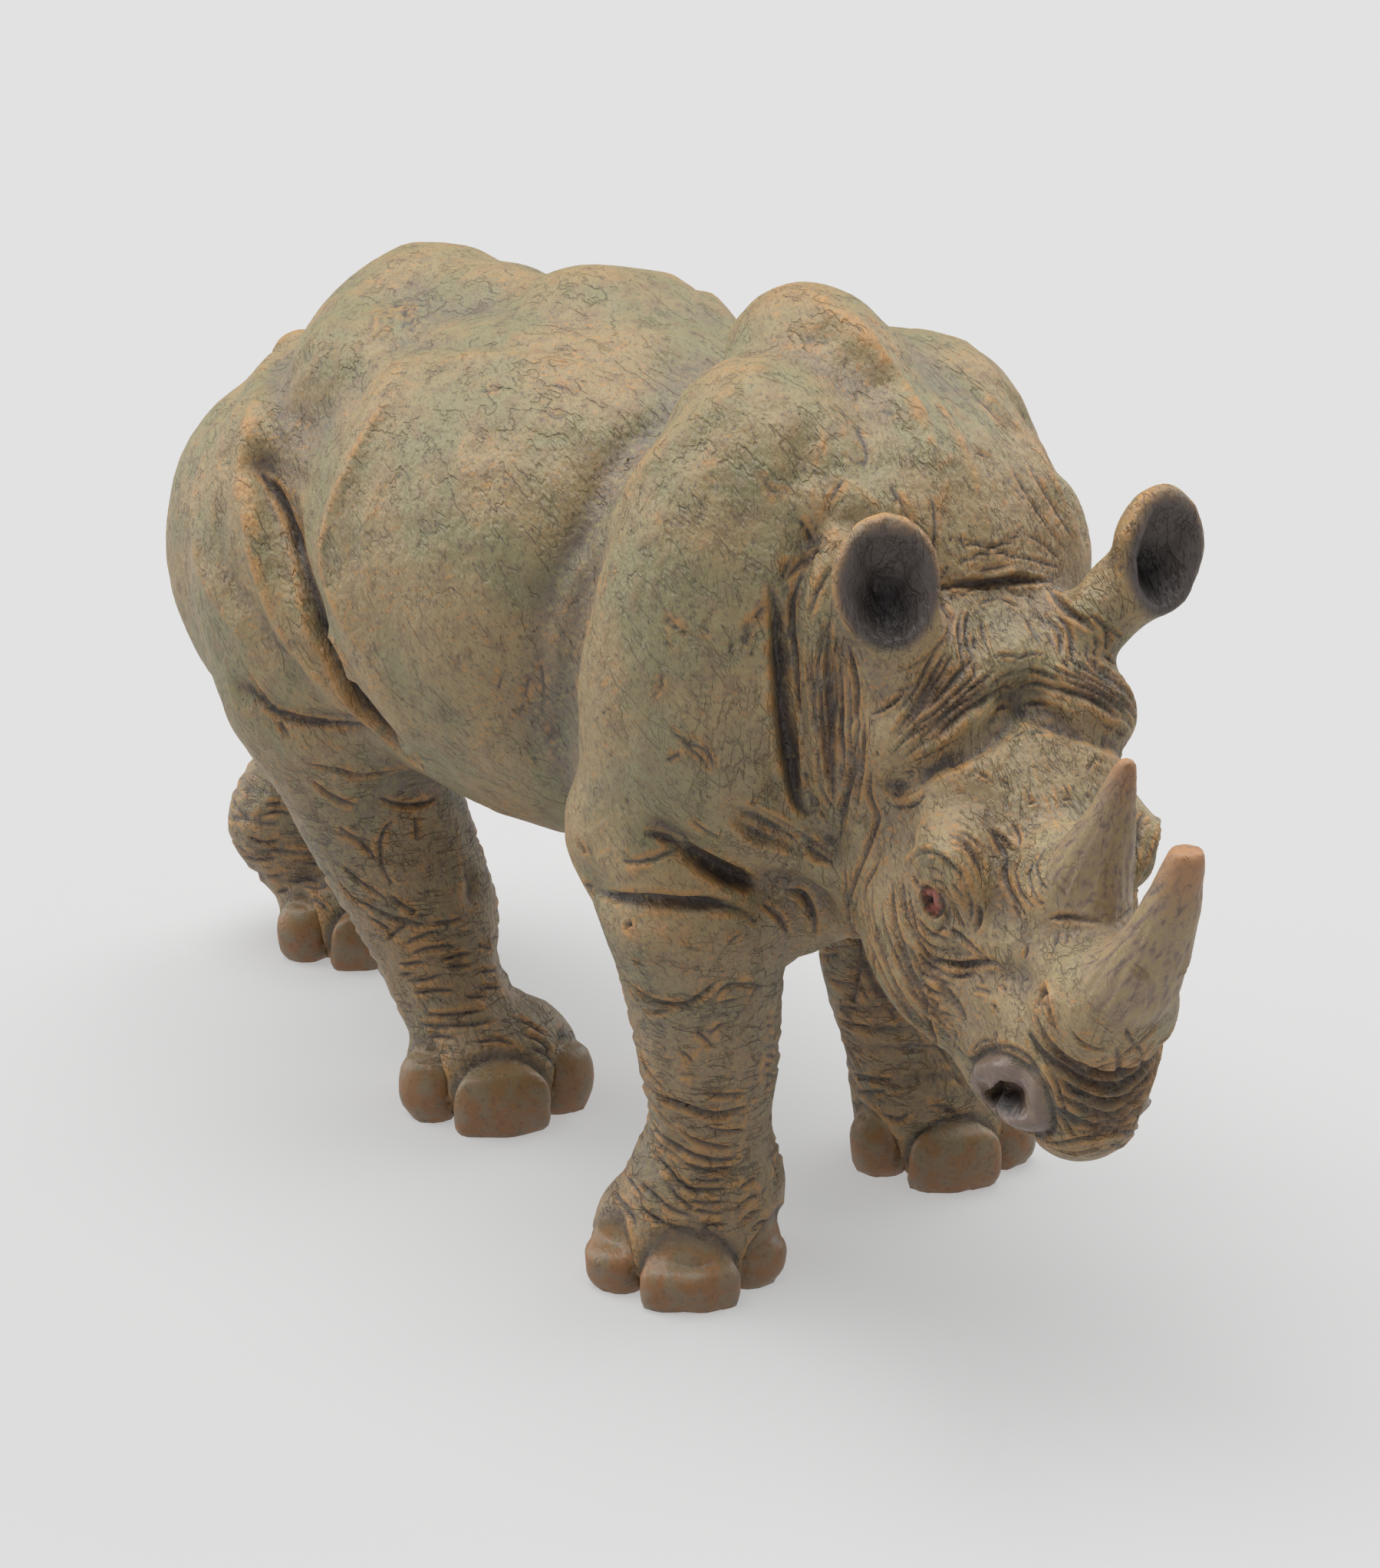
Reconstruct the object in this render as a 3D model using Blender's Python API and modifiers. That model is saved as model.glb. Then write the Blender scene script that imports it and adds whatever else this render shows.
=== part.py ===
"""Rhinoceros figurine: a walking black rhinoceros moulded in one piece, standing on four flat soles.

Metres, +Z up. The animal faces -Y, its left side is +X, and the floor is z = 0. The origin is on the
floor below the middle of the figure's box.
"""

import math

import bmesh
import bpy
import numpy as np
from mathutils import Matrix, Vector
from mathutils.bvhtree import BVHTree

# Driving dimensions, in metres
HEIGHT = 0.128
EAR_WALL = 0.0017
HORN_FLAT = 0.0044
CLAY_GRAIN = 0.0014
FINE_GRAIN = 0.0008
MAX_TRIANGLES = 9300

# The pose is drawn on a grid on which the withers stand 128 units above the floor
GRID_HEIGHT = 128.0
UNIT = HEIGHT / GRID_HEIGHT

# The head's own frame has its origin at the poll, -Y towards the muzzle and +Z out of the forehead
HEAD_POLL = (-1.0, -67.0, 101.0)
HEAD_TURN = math.radians(-21.0)
HEAD_DIP = math.radians(46.0)
HEAD_TILT = math.radians(0.0)

# Each ear: its root on the skull, the middle of its cup, the way the cup faces and its roll, in degrees
EARS = [
    {"root": (-13.5, -69.5, 91.5), "cup": (-19.6, -70.0, 102.6), "heading": -30.0, "roll": -4.0},
    {"root": (7.7, -75.0, 93.5), "cup": (14.8, -80.5, 102.3), "heading": -4.0, "roll": 10.0},
]
EAR_LEAN = -10.0
EAR_HALF_WIDTH = 6.0
EAR_HALF_LENGTH = 7.6
EAR_DEPTH = 2.8

# Each horn on the head's grid: a chain of (x, y, z, radius)
FRONT_HORN = [(0, -56, 2, 8.4), (0, -57, 9, 6.6), (0, -56, 16, 5.1), (0, -54, 23, 3.9), (0, -51.4, 29.2, 2.8)]
REAR_HORN = [(0, -43, -1, 6.6), (0, -42, 6, 5.0), (0, -40, 13, 3.6), (0, -36.8, 21, 1.9)]

# Each foot: the middle of its sole, its heading in degrees and its size
FEET = [((-20.0, -33.0), -34.0, 1.0), ((29.5, -28.5), -30.0, 1.0), ((-8.0, 25.5), -30.0, 1.06),
        ((10.0, 88.0), -20.0, 1.0)]

# Folds of the trunk on its right side: path, width, depth, how far the left copy lies further back and
# how deep it is beside the right one; a negative depth is a ridge
BODY_FOLDS = [
    ([(-30, 48, 94), (-31, 38, 85), (-33, 30, 77), (-32, 27, 70), (-30, 19, 63)], 2.8, 3.0, 12, 1.0),
    ([(-24, 23, 108), (-31, 22, 98), (-34, 22, 88), (-35, 18, 79), (-32, 10, 68)], 5.0, -1.4, 4, 1.0),
    ([(-12, 71, 100), (-28, 53, 96), (-32, 46, 87), (-32, 38, 77), (-30, 29, 66)], 3.5, -1.5, 12, 1.0),
    ([(-33, 48, 62), (-32, 38, 59), (-28, 26, 60)], 2.0, 1.8, 14, 1.0),
    ([(-11, 52, 115), (-10, 34, 116), (-9, 18, 118), (-8, 4, 119), (-6, -8, 117)], 6.0, 1.1, 0, 1.0),
    ([(-5, -15, 118), (-18, -23, 113), (-28, -25, 103), (-30, -19, 88), (-30, -14, 74)], 8.0, 2.8, 0, 1.0),
    ([(-22, -58, 106), (-25, -57, 96), (-26, -59, 86), (-22, -56, 73), (-19, -58, 66)], 2.4, 2.8, 0, 0.45),
    ([(-23, -65, 93), (-24, -65, 85), (-23, -63, 77), (-19, -60, 68)], 2.0, 1.8, 0, 0.5),
    ([(-30, -42, 66), (-27, -46, 63), (-21, -48, 59), (-15, -53, 58)], 2.4, 2.2, 4, 1.0),
    ([(-32, -30, 56), (-32, -41, 56), (-27, -46, 57)], 2.0, 1.6, 4, 1.0),
]

# Folds of the head on its own grid, right side: path, width and depth
HEAD_FOLDS = [
    ([(-12, -4, 0), (-5, -4, 3), (0, -4, 3)], 1.6, 1.0),
    ([(-15, -19, -7), (-9, -17, 0), (-2, -13, 1), (0, -13, 1)], 3.0, -1.4),
    ([(-16, -24, -10), (-11, -23, -2), (-5, -20, 0), (0, -17, 0)], 1.8, 1.6),
    ([(-13, -38, -10), (-13, -39, -10)], 2.2, 1.6),
    ([(-15, -33, -9), (-12, -34, -4), (-11, -40, -4)], 2.0, -1.0),
    ([(-14, -43, -17), (-10, -48, -10), (-8, -52, -1)], 2.0, 1.2),
    ([(-9, -61, -12), (-9, -62, -13)], 2.4, 2.4),
    ([(-7, -66, -18), (-9, -59, -21), (-10, -52, -24), (-11, -45, -26)], 1.4, 1.4),
]

SKIN_COLOUR = (0.31, 0.27, 0.17, 1.0)
SKIN_ROUGHNESS = 0.62

RIGHT = -1
LEFT = 1


def head_frame():
    """The matrix from the head's own grid to the figure's grid."""
    turn = Matrix.Rotation(HEAD_TURN, 4, "Z")
    dip = Matrix.Rotation(HEAD_DIP, 4, "X")
    tilt = Matrix.Rotation(HEAD_TILT, 4, "Y")
    return Matrix.Translation(HEAD_POLL) @ turn @ dip @ tilt


def add_lump(clay, shape):
    """Adds one closed lump, made apart from the rest and then laid into the clay."""
    lump = bmesh.new()
    shape(lump)
    mesh = bpy.data.meshes.new("lump")
    lump.to_mesh(mesh)
    lump.free()
    clay.from_mesh(mesh)
    bpy.data.meshes.remove(mesh)


def add_mass(clay, centre, radii, lean=(0.0, 0.0, 0.0), frame=None):
    """Adds one rounded lump of clay: an ellipsoid, leaned by degrees about X, Y and Z."""
    turn = Matrix.Identity(4)
    for axis, degrees in zip("XYZ", lean):
        turn = Matrix.Rotation(math.radians(degrees), 4, axis) @ turn
    place = Matrix.Translation(centre) @ turn @ Matrix.Diagonal((*radii, 1.0))
    place = Matrix.Scale(UNIT, 4) @ (frame or Matrix.Identity(4)) @ place
    add_lump(clay, lambda lump: bmesh.ops.create_uvsphere(lump, u_segments=28, v_segments=16,
                                                         radius=1.0, matrix=place))


def add_pair(clay, centre, radii, lean=(0.0, 0.0, 0.0), frame=None):
    """Adds the same lump on both flanks; the centre given is the left one."""
    for side in (RIGHT, LEFT):
        mirrored = (centre[0] * side, centre[1], centre[2])
        add_mass(clay, mirrored, radii, (lean[0], lean[1] * side, lean[2] * side), frame)


def add_limb(clay, joints, frame=None):
    """Adds a chain of balls joined by tapering rods; a joint is (x, y, z, radius)."""
    matrix = Matrix.Scale(UNIT, 4) @ (frame or Matrix.Identity(4))
    for x, y, z, radius in joints:
        place = matrix @ Matrix.Translation((x, y, z)) @ Matrix.Scale(radius, 4)
        add_lump(clay, lambda lump: bmesh.ops.create_uvsphere(lump, u_segments=24, v_segments=14,
                                                             radius=1.0, matrix=place))
    for first, second in zip(joints, joints[1:]):
        start, end = Vector(first[:3]), Vector(second[:3])
        along = end - start
        turn = along.to_track_quat("Z", "Y").to_matrix().to_4x4()
        place = matrix @ Matrix.Translation((start + end) / 2) @ turn
        add_lump(clay, lambda lump: bmesh.ops.create_cone(
            lump, cap_ends=True, segments=24, radius1=first[3], radius2=second[3],
            depth=along.length, matrix=place))


def model_trunk(clay):
    """Barrel, back, shoulders, hips and neck."""
    add_mass(clay, (0, 12, 83), (36, 50, 37))
    add_mass(clay, (0, 24, 79), (34, 42, 32))
    add_mass(clay, (5, 14, 96.5), (25, 22, 27))
    add_mass(clay, (0, 32, 93.5), (22, 24, 27.5))
    add_mass(clay, (0, -35, 100), (14, 23, 29.5), (-8, 0, 0))
    add_mass(clay, (0, -36, 75), (29, 25, 29))
    add_pair(clay, (19, -36, 84), (15, 20, 33), (6, 0, 0))
    add_pair(clay, (13, -39, 105), (13, 19, 17.5))
    add_mass(clay, (0, -54, 74), (21, 17, 24))
    add_pair(clay, (11, -52, 96), (14, 16, 17))
    add_mass(clay, (0, 46, 93), (23, 24, 28.5))
    add_pair(clay, (13, 40, 104), (12, 18, 12))
    add_mass(clay, (0, 64, 80), (20, 24, 28))
    add_pair(clay, (13, 63, 74), (17, 27, 27))
    add_limb(clay, [(0, -43, 92, 28), (-2, -50, 87, 24), (-5, -60, 84, 17)])


def model_legs(clay):
    """Four legs in mid stride: the right hind leg is forward and the left hind leg pushes off."""
    add_mass(clay, (-22, -29, 62), (11, 12.5, 13))
    add_mass(clay, (22, -25, 62), (11, 12.5, 13))
    add_limb(clay, [(-18, -33, 68, 15), (-21, -36, 54, 12.5), (-20, -37, 43, 10.4), (-19, -37, 32, 9.4),
                    (-18, -36.5, 22, 7.9), (-17.5, -34.5, 12, 11.0)])
    add_limb(clay, [(20, -32, 68, 15), (22, -28, 54, 12.5), (22, -26, 42, 10.6), (22, -25, 31, 9.4),
                    (24, -26, 19, 8.2), (27.5, -28, 11, 11.0)])
    add_mass(clay, (-20, 50, 72), (15, 22, 30), (-14, 0, 0))
    add_mass(clay, (20, 62, 72), (15, 23, 30), (10, 0, 0))
    add_limb(clay, [(-19, 50, 60, 15), (-15.5, 46, 48, 12.8), (-12.8, 43.6, 38, 12.0), (-10.2, 38, 26, 10.6),
                    (-11, 33, 16, 8.0), (-9, 28, 9, 9.2)])
    add_limb(clay, [(19, 70, 60, 15), (15, 84, 46, 12.0), (10, 93, 34, 8.5), (5.5, 99, 19, 10.4),
                    (8.5, 94, 11, 9.0)])


def model_skull(clay, frame):
    """The big masses of the head: skull, cheeks and muzzle."""
    add_mass(clay, (0, -9, -15), (15.5, 17, 15.0), frame=frame)
    add_mass(clay, (0, -22, -24), (14.0, 19, 16.0), frame=frame)
    add_pair(clay, (6.5, -33, -24.5), (10.5, 18, 14.5), frame=frame)
    add_mass(clay, (0, -30, -13), (13.8, 19, 12.5), frame=frame)
    add_pair(clay, (7.6, -17, -8), (8.2, 14, 8.5), frame=frame)
    add_mass(clay, (0, -45, -13), (10.5, 17, 12.5), frame=frame)
    add_mass(clay, (0, -57, -12), (9.6, 11, 12.0), frame=frame)
    add_mass(clay, (0, -50, -22), (11.0, 15.5, 11.0), (-8, 0, 0), frame=frame)


def model_tail(clay):
    """A thin tail that hangs down between the hams and ends in a small tuft."""
    add_limb(clay, [(0, 82, 98, 4.6), (0, 87, 90, 3.4), (0.5, 88.5, 80, 2.9), (1, 88, 68, 2.5),
                    (1, 86.5, 58, 2.4), (1, 85.5, 51, 2.9), (1, 85, 45, 1.8)])


def model_face(clay, frame):
    """The finer masses of the head: hooked lip, horn bosses, brows and nostril wings."""
    add_mass(clay, (0, -64, -16), (6.6, 5.5, 8), (20, 0, 0), frame=frame)
    add_mass(clay, (0, -54, -3), (8.2, 9, 8), frame=frame)
    add_mass(clay, (0, -41, -2), (6.8, 8, 6), frame=frame)
    add_pair(clay, (9.5, -33, -8), (5, 8, 5.5), frame=frame)
    add_pair(clay, (7.6, -60, -15), (2.6, 5, 5), frame=frame)


def model_foot(clay, centre, heading, size=1.0):
    """A foot: a round pad with a large front nail and a smaller one on each side."""
    turn = Matrix.Translation((*centre, 0)) @ Matrix.Rotation(math.radians(heading), 4, "Z")
    turn = turn @ Matrix.Scale(size, 4)
    add_mass(clay, (0, 1.0, 6.0), (11.8, 11.2, 9.0), frame=turn)
    add_mass(clay, (0, -8.4, 4.0), (6.8, 5.2, 6.6), frame=turn)
    add_pair(clay, (9.6, -2.6, 4.2), (4.4, 5.8, 6.4), (0, 0, 40), frame=turn)


def model_horns(clay, frame):
    """Two horns that curve back; the front one is blunt."""
    add_limb(clay, FRONT_HORN, frame)
    add_limb(clay, REAR_HORN, frame)


def ear_frame(ear):
    """The matrix of an ear's cup: the origin is its middle, +Z up the cup and -Y out of it."""
    turn = Matrix.Rotation(math.radians(ear["heading"]), 4, "Z")
    roll = Matrix.Rotation(math.radians(ear["roll"]), 4, "Y")
    lean = Matrix.Rotation(math.radians(EAR_LEAN), 4, "X")
    return Matrix.Translation(ear["cup"]) @ turn @ roll @ lean


def model_ears(clay):
    """Two ears, each a stalk that widens into a cup; the cups are hollowed later."""
    for ear in EARS:
        frame = ear_frame(ear)
        back = frame @ Vector((0, 2.2, -2.4))
        add_limb(clay, [(*ear["root"], 5.0), (*back, 4.4)])
        add_mass(clay, (0, 0, 0), (EAR_HALF_WIDTH, 4.8, EAR_HALF_LENGTH), frame=frame)


def hollow_ears(points):
    """Presses the front of each ear into a cup with a rim as thick as the ear's wall."""
    inner = 1.0 - EAR_WALL / UNIT / EAR_HALF_WIDTH
    for ear in EARS:
        frame = ear_frame(ear)
        inverse = np.array(frame.inverted())
        local = points @ inverse[:3, :3].T + inverse[:3, 3]
        reach = np.hypot(local[:, 0] / (EAR_HALF_WIDTH * inner), local[:, 2] / (EAR_HALF_LENGTH * inner))
        front = (local[:, 1] < 0.0) & (local[:, 1] > -9.0) & (reach < 1.35)
        bowl = EAR_DEPTH * np.clip(1.0 - reach ** 2, 0.0, 1.0) ** 0.6
        local[front, 1] = local[front, 1] * 0.35 * np.clip(reach[front], 0.0, 1.0) + bowl[front]
        forward = np.array(frame)
        points[front] = local[front] @ forward[:3, :3].T + forward[:3, 3]


def skin_material():
    """Matt paint on soft vinyl, the olive tan that covers most of the figure."""
    material = bpy.data.materials.new("painted vinyl")
    material.use_nodes = True
    shader = material.node_tree.nodes["Principled BSDF"]
    shader.inputs["Base Color"].default_value = SKIN_COLOUR
    shader.inputs["Roughness"].default_value = SKIN_ROUGHNESS
    return material


def new_object(name, mesh, collection):
    """A new object in the collection given."""
    made = bpy.data.objects.new(name, mesh)
    collection.objects.link(made)
    return made


def new_collection(name):
    """A new collection in the scene."""
    made = bpy.data.collections.new(name)
    bpy.context.scene.collection.children.link(made)
    return made


def settle(target):
    """Replaces an object's mesh by what its modifiers make of it."""
    graph = bpy.context.evaluated_depsgraph_get()
    mesh = bpy.data.meshes.new_from_object(target.evaluated_get(graph))
    target.modifiers.clear()
    old = target.data
    target.data = mesh
    bpy.data.meshes.remove(old)


def fuse(target, clay, grain, rounds):
    """Melts a figure and new lumps of clay into one skin, then smooths it."""
    clay.from_mesh(target.data)
    clay.to_mesh(target.data)
    clay.free()
    remesh = target.modifiers.new("fuse", "REMESH")
    remesh.mode = "VOXEL"
    remesh.voxel_size = grain
    smooth = target.modifiers.new("smooth", "SMOOTH")
    smooth.factor = 0.5
    smooth.iterations = rounds
    settle(target)


def points_of(mesh):
    """A mesh's points on the figure's grid."""
    flat = np.empty(len(mesh.vertices) * 3, dtype=np.float32)
    mesh.vertices.foreach_get("co", flat)
    return flat.reshape(-1, 3).astype(float) / UNIT


def put_points(mesh, points):
    """Moves a mesh's points to places on the figure's grid."""
    mesh.vertices.foreach_set("co", (points * UNIT).astype(np.float32).ravel())
    mesh.update()


def lay(path, tree):
    """Points about one unit apart along a path, each moved to the nearest place on the skin."""
    laid = []
    for first, second in zip(path, path[1:]):
        start, end = Vector(first), Vector(second)
        steps = max(1, round((end - start).length))
        laid += [start.lerp(end, step / steps) for step in range(steps)]
    laid.append(Vector(path[-1]))
    return np.array([tree.find_nearest(point)[0] for point in laid])


def press(points, normals, tree, path, width, depth):
    """Presses a soft groove into the skin along a path; a negative depth raises a ridge."""
    laid = lay(path, tree)
    near = np.full(len(points), np.inf)
    for place in laid:
        near = np.minimum(near, ((points - place) ** 2).sum(axis=1))
    points -= normals * (depth * np.exp(-near / width ** 2))[:, None]


def blunt_horn(points, frame):
    """Cuts the tip of the front horn off square, so that it ends in a round flat."""
    inverse = np.array(frame.inverted())
    local = points @ inverse[:3, :3].T + inverse[:3, 3]
    x, y, z, radius = FRONT_HORN[-1]
    level = z + math.sqrt(radius ** 2 - (HORN_FLAT / UNIT / 2.0) ** 2)
    near = (abs(local[:, 0] - x) < 8.0) & (abs(local[:, 1] - y) < 8.0)
    local[near, 2] = np.minimum(local[near, 2], level)
    forward = np.array(frame)
    points[near] = local[near] @ forward[:3, :3].T + forward[:3, 3]


def sculpt(figure, frame):
    """Carves what lumps of clay can't give: cups of the ears, folds, hollows and ridges."""
    mesh = figure.data
    points = points_of(mesh)
    hollow_ears(points)
    blunt_horn(points, frame)
    flat = np.empty(len(mesh.vertices) * 3, dtype=np.float32)
    mesh.vertices.foreach_get("normal", flat)
    normals = flat.reshape(-1, 3).astype(float)
    tree = BVHTree.FromPolygons(points.tolist(), [tuple(face.vertices) for face in mesh.polygons])
    for path, width, depth, shift, share in BODY_FOLDS:
        press(points, normals, tree, path, width, depth)
        press(points, normals, tree, [(-x, y + shift, z) for x, y, z in path], width, depth * share)
    for path, width, depth in HEAD_FOLDS:
        for side in (RIGHT, LEFT):
            placed = [frame @ Vector((x * side, y, z)) for x, y, z in path]
            press(points, normals, tree, placed, width, depth)
    put_points(mesh, points)


def thin_out(figure, frame):
    """Thins the skin, but leaves the head and ears finer than the trunk."""
    points = points_of(figure.data)
    inverse = np.array(frame.inverted())
    local = points @ inverse[:3, :3].T + inverse[:3, 3]
    fine = np.linalg.norm(local - (0.0, -40.0, -8.0), axis=1) < 42.0
    for ear in EARS:
        fine |= np.linalg.norm(points - np.array(ear["cup"]), axis=1) < 10.0
    group = figure.vertex_groups.new(name="trunk")
    group.add(np.flatnonzero(~fine).tolist(), 1.0, "REPLACE")
    group.add(np.flatnonzero(fine).tolist(), 0.8, "REPLACE")
    thin = figure.modifiers.new("thin", "DECIMATE")
    thin.ratio = MAX_TRIANGLES / (2.0 * len(figure.data.polygons))
    thin.vertex_group = "trunk"
    thin.vertex_group_factor = 0.02
    settle(figure)
    figure.vertex_groups.clear()


def cut_soles(figure, cutters):
    """Cuts the feet flat on the floor."""
    slab = bmesh.new()
    side = 4.0 * HEIGHT
    depth = HEIGHT / 3.0
    place = Matrix.Translation((0, 0, -depth / 2)) @ Matrix.Diagonal((side, side, depth, 1.0))
    bmesh.ops.create_cube(slab, size=1.0, matrix=place)
    mesh = bpy.data.meshes.new("floor_slab")
    slab.to_mesh(mesh)
    slab.free()
    cutter = new_object("floor_slab", mesh, cutters)
    cutter.hide_render = True
    cutter.display_type = "WIRE"
    cut = figure.modifiers.new("soles", "BOOLEAN")
    cut.operation = "DIFFERENCE"
    cut.solver = "EXACT"
    cut.object = cutter


def centre_on_floor(mesh):
    """Moves the mesh so that the middle of its box stands over the origin."""
    points = points_of(mesh)
    middle = (points.min(axis=0) + points.max(axis=0)) / 2.0
    put_points(mesh, points - (round(middle[0], 1), round(middle[1], 1), 0.0))


def build():
    """Makes the figurine."""
    for old in list(bpy.data.objects):
        bpy.data.objects.remove(old)
    collection = new_collection("rhinoceros figurine")
    cutters = new_collection("cutters")
    frame = head_frame()
    figure = new_object("rhinoceros", bpy.data.meshes.new("rhinoceros"), collection)
    clay = bmesh.new()
    model_trunk(clay)
    model_legs(clay)
    model_skull(clay, frame)
    fuse(figure, clay, CLAY_GRAIN, 20)
    clay = bmesh.new()
    model_face(clay, frame)
    model_horns(clay, frame)
    model_ears(clay)
    model_tail(clay)
    for centre, heading, size in FEET:
        model_foot(clay, centre, heading, size)
    fuse(figure, clay, FINE_GRAIN, 6)
    sculpt(figure, frame)
    thin_out(figure, frame)
    centre_on_floor(figure.data)
    figure.data.materials.append(skin_material())
    cut_soles(figure, cutters)
    return figure


build()
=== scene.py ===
"""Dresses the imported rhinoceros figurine: the moulded folds and wrinkles of its hide, and its paint.

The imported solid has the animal's outline, pose and main folds. This script copies that solid, makes its
skin fine, carves the finer relief into it and paints it. All lengths are millimetres unless a name says
otherwise.
"""
from __future__ import annotations

import logging
import math
from dataclasses import dataclass, field
from enum import Enum
from functools import reduce
from typing import Iterable, Sequence

import bmesh
import bpy
import numpy as np
from mathutils import Matrix, Vector
from mathutils.bvhtree import BVHTree
from mathutils.kdtree import KDTree

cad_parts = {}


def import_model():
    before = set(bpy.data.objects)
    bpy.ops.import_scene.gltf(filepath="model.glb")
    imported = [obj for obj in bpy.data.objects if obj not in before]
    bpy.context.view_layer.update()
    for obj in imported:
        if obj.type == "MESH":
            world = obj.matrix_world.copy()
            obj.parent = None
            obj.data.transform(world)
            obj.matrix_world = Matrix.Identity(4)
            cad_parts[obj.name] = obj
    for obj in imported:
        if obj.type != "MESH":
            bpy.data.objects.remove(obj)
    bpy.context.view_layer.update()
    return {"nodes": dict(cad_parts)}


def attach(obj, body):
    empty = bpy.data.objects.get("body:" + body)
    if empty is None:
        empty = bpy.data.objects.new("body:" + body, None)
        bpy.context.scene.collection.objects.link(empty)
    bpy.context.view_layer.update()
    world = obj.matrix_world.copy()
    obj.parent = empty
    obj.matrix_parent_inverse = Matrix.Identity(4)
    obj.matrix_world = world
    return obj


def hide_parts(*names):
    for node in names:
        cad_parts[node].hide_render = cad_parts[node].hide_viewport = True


LOG = logging.getLogger("rhinoceros")
MM = 0.001
NODE = "rhinoceros"
BODY = "root"

Pixel = tuple[float, float]
Point = tuple[float, float, float]
Colour = tuple[float, float, float, float]
HEAD_TURN = -21.0
HEAD_DIP = 46.0
HEAD_TO_FIGURE = (math.radians(HEAD_DIP), 0.0, math.radians(HEAD_TURN))
AS_IT_IS = (1.0, 1.0, 1.0)


def smoothstep(low: float, high: float, value: np.ndarray) -> np.ndarray:
    """A soft step from 0 at low to 1 at high; low may be the larger one.

    Args:
        low: where the step starts.
        high: where the step ends.
        value: the numbers to step.

    Returns:
        Numbers from 0 to 1.
    """
    share = np.clip((value - low) / (high - low), 0.0, 1.0)
    return share * share * (3.0 - 2.0 * share)


class Profile(Enum):
    """The section of a stroke across its path."""

    CREASE = "a narrow V with raised lips"
    HOLLOW = "a soft trough"
    RIDGE = "a soft ridge"


class Sides(Enum):
    """Where a stroke is carved."""

    SEEN = "where it was drawn"
    BOTH = "where it was drawn, and mirrored on the other side"


@dataclass(frozen=True)
class Stroke:
    """One pull of the sculptor's tool, drawn on the photograph's frame.

    Attributes:
        path: a few points of the stroke, in pixels of the photograph's frame.
        width: half the width of the stroke.
        depth: how deep it goes, or how high a ridge stands.
        profile: the section across the path.
        sides: whether the other flank has it too.
    """

    path: Sequence[Pixel]
    width: float
    depth: float
    profile: Profile = Profile.CREASE
    sides: Sides = Sides.BOTH


@dataclass(frozen=True)
class Pleats:
    """A family of strokes that runs from one guide to another, each a little different.

    Attributes:
        first: the guide on one edge of the family.
        last: the guide on the other edge.
        count: how many strokes there are.
        width: half the width of each.
        depth: how deep each goes.
        wander: how far a stroke strays from its place, in pixels.
        seed: fixes what is random.
        sides: whether the other flank has them too.
    """

    first: Sequence[Pixel]
    last: Sequence[Pixel]
    count: int
    width: float
    depth: float
    wander: float = 4.0
    seed: int = 1
    sides: Sides = Sides.BOTH

    def strokes(self) -> list[Stroke]:
        """The strokes of the family.

        Returns:
            One stroke for each pleat.
        """
        chance = np.random.default_rng(self.seed)
        edges = [resample(np.array(guide, float), 9) for guide in (self.first, self.last)]
        made = []
        for share in np.linspace(0.0, 1.0, self.count):
            line = edges[0] * (1.0 - share) + edges[1] * share
            line = line + np.cumsum(chance.normal(0.0, self.wander * 0.35, line.shape), axis=0) * 0.6
            start, end = sorted(chance.uniform(0.0, 1.0, 2) * (0.28, 0.28) + (0.0, 0.72))
            line = resample(line, 33)[int(start * 32): int(end * 32) + 1: 3]
            scale = chance.uniform(0.7, 1.2)
            made.append(Stroke([tuple(place) for place in line], self.width * scale,
                               self.depth * scale, Profile.CREASE, self.sides))
        return made


def resample(path: np.ndarray, count: int) -> np.ndarray:
    """A path with evenly spaced points on a smooth line through its own points.

    Args:
        path: the points of the path, one in each row.
        count: how many points the result has.

    Returns:
        The new points, one in each row.
    """
    padded = np.vstack([2 * path[0] - path[1], path, 2 * path[-1] - path[-2]])
    steps = np.linspace(0.0, 1.0, 8, endpoint=False)[:, None]
    pieces = []
    for a, b, c, d in zip(padded, padded[1:], padded[2:], padded[3:]):
        pieces.append(0.5 * (2 * b + (c - a) * steps + (2 * a - 5 * b + 4 * c - d) * steps ** 2
                             + (3 * b - a - 3 * c + d) * steps ** 3))
    fine = np.vstack([*pieces, path[-1:]])
    run = np.concatenate([[0.0], np.cumsum(np.linalg.norm(np.diff(fine, axis=0), axis=1))])
    places = np.linspace(0.0, run[-1], count)
    return np.column_stack([np.interp(places, run, fine[:, axis]) for axis in range(path.shape[1])])


def chain_at(chain: Sequence[Sequence[float]], heights: np.ndarray) -> tuple[np.ndarray, np.ndarray]:
    """The middle and the radius of a chain of rounds at each height.

    Args:
        chain: rounds as (x, y, z, radius), the lowest first.
        heights: where the chain is cut across.

    Returns:
        The middles, one in each row, and the radii.
    """
    rounds = np.array(chain, float)
    columns = [np.interp(heights, rounds[:, 2], rounds[:, column]) for column in (0, 1, 3)]
    return np.column_stack(columns[:2]), columns[2]


def crease(width: float, depth: float, *path: Pixel) -> Stroke:
    """A wrinkle: half its width, its depth and a few points of its path."""
    return Stroke(path, width, depth)


def creases(width: float, depth: float, *paths: Sequence[Pixel]) -> list[Stroke]:
    """Several wrinkles of one width and depth, each given by its path."""
    return [crease(width, depth, *path) for path in paths]


def hollow(width: float, depth: float, *path: Pixel) -> Stroke:
    """A soft trough: half its width, its depth and a few points of its path."""
    return Stroke(path, width, depth, Profile.HOLLOW)


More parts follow.
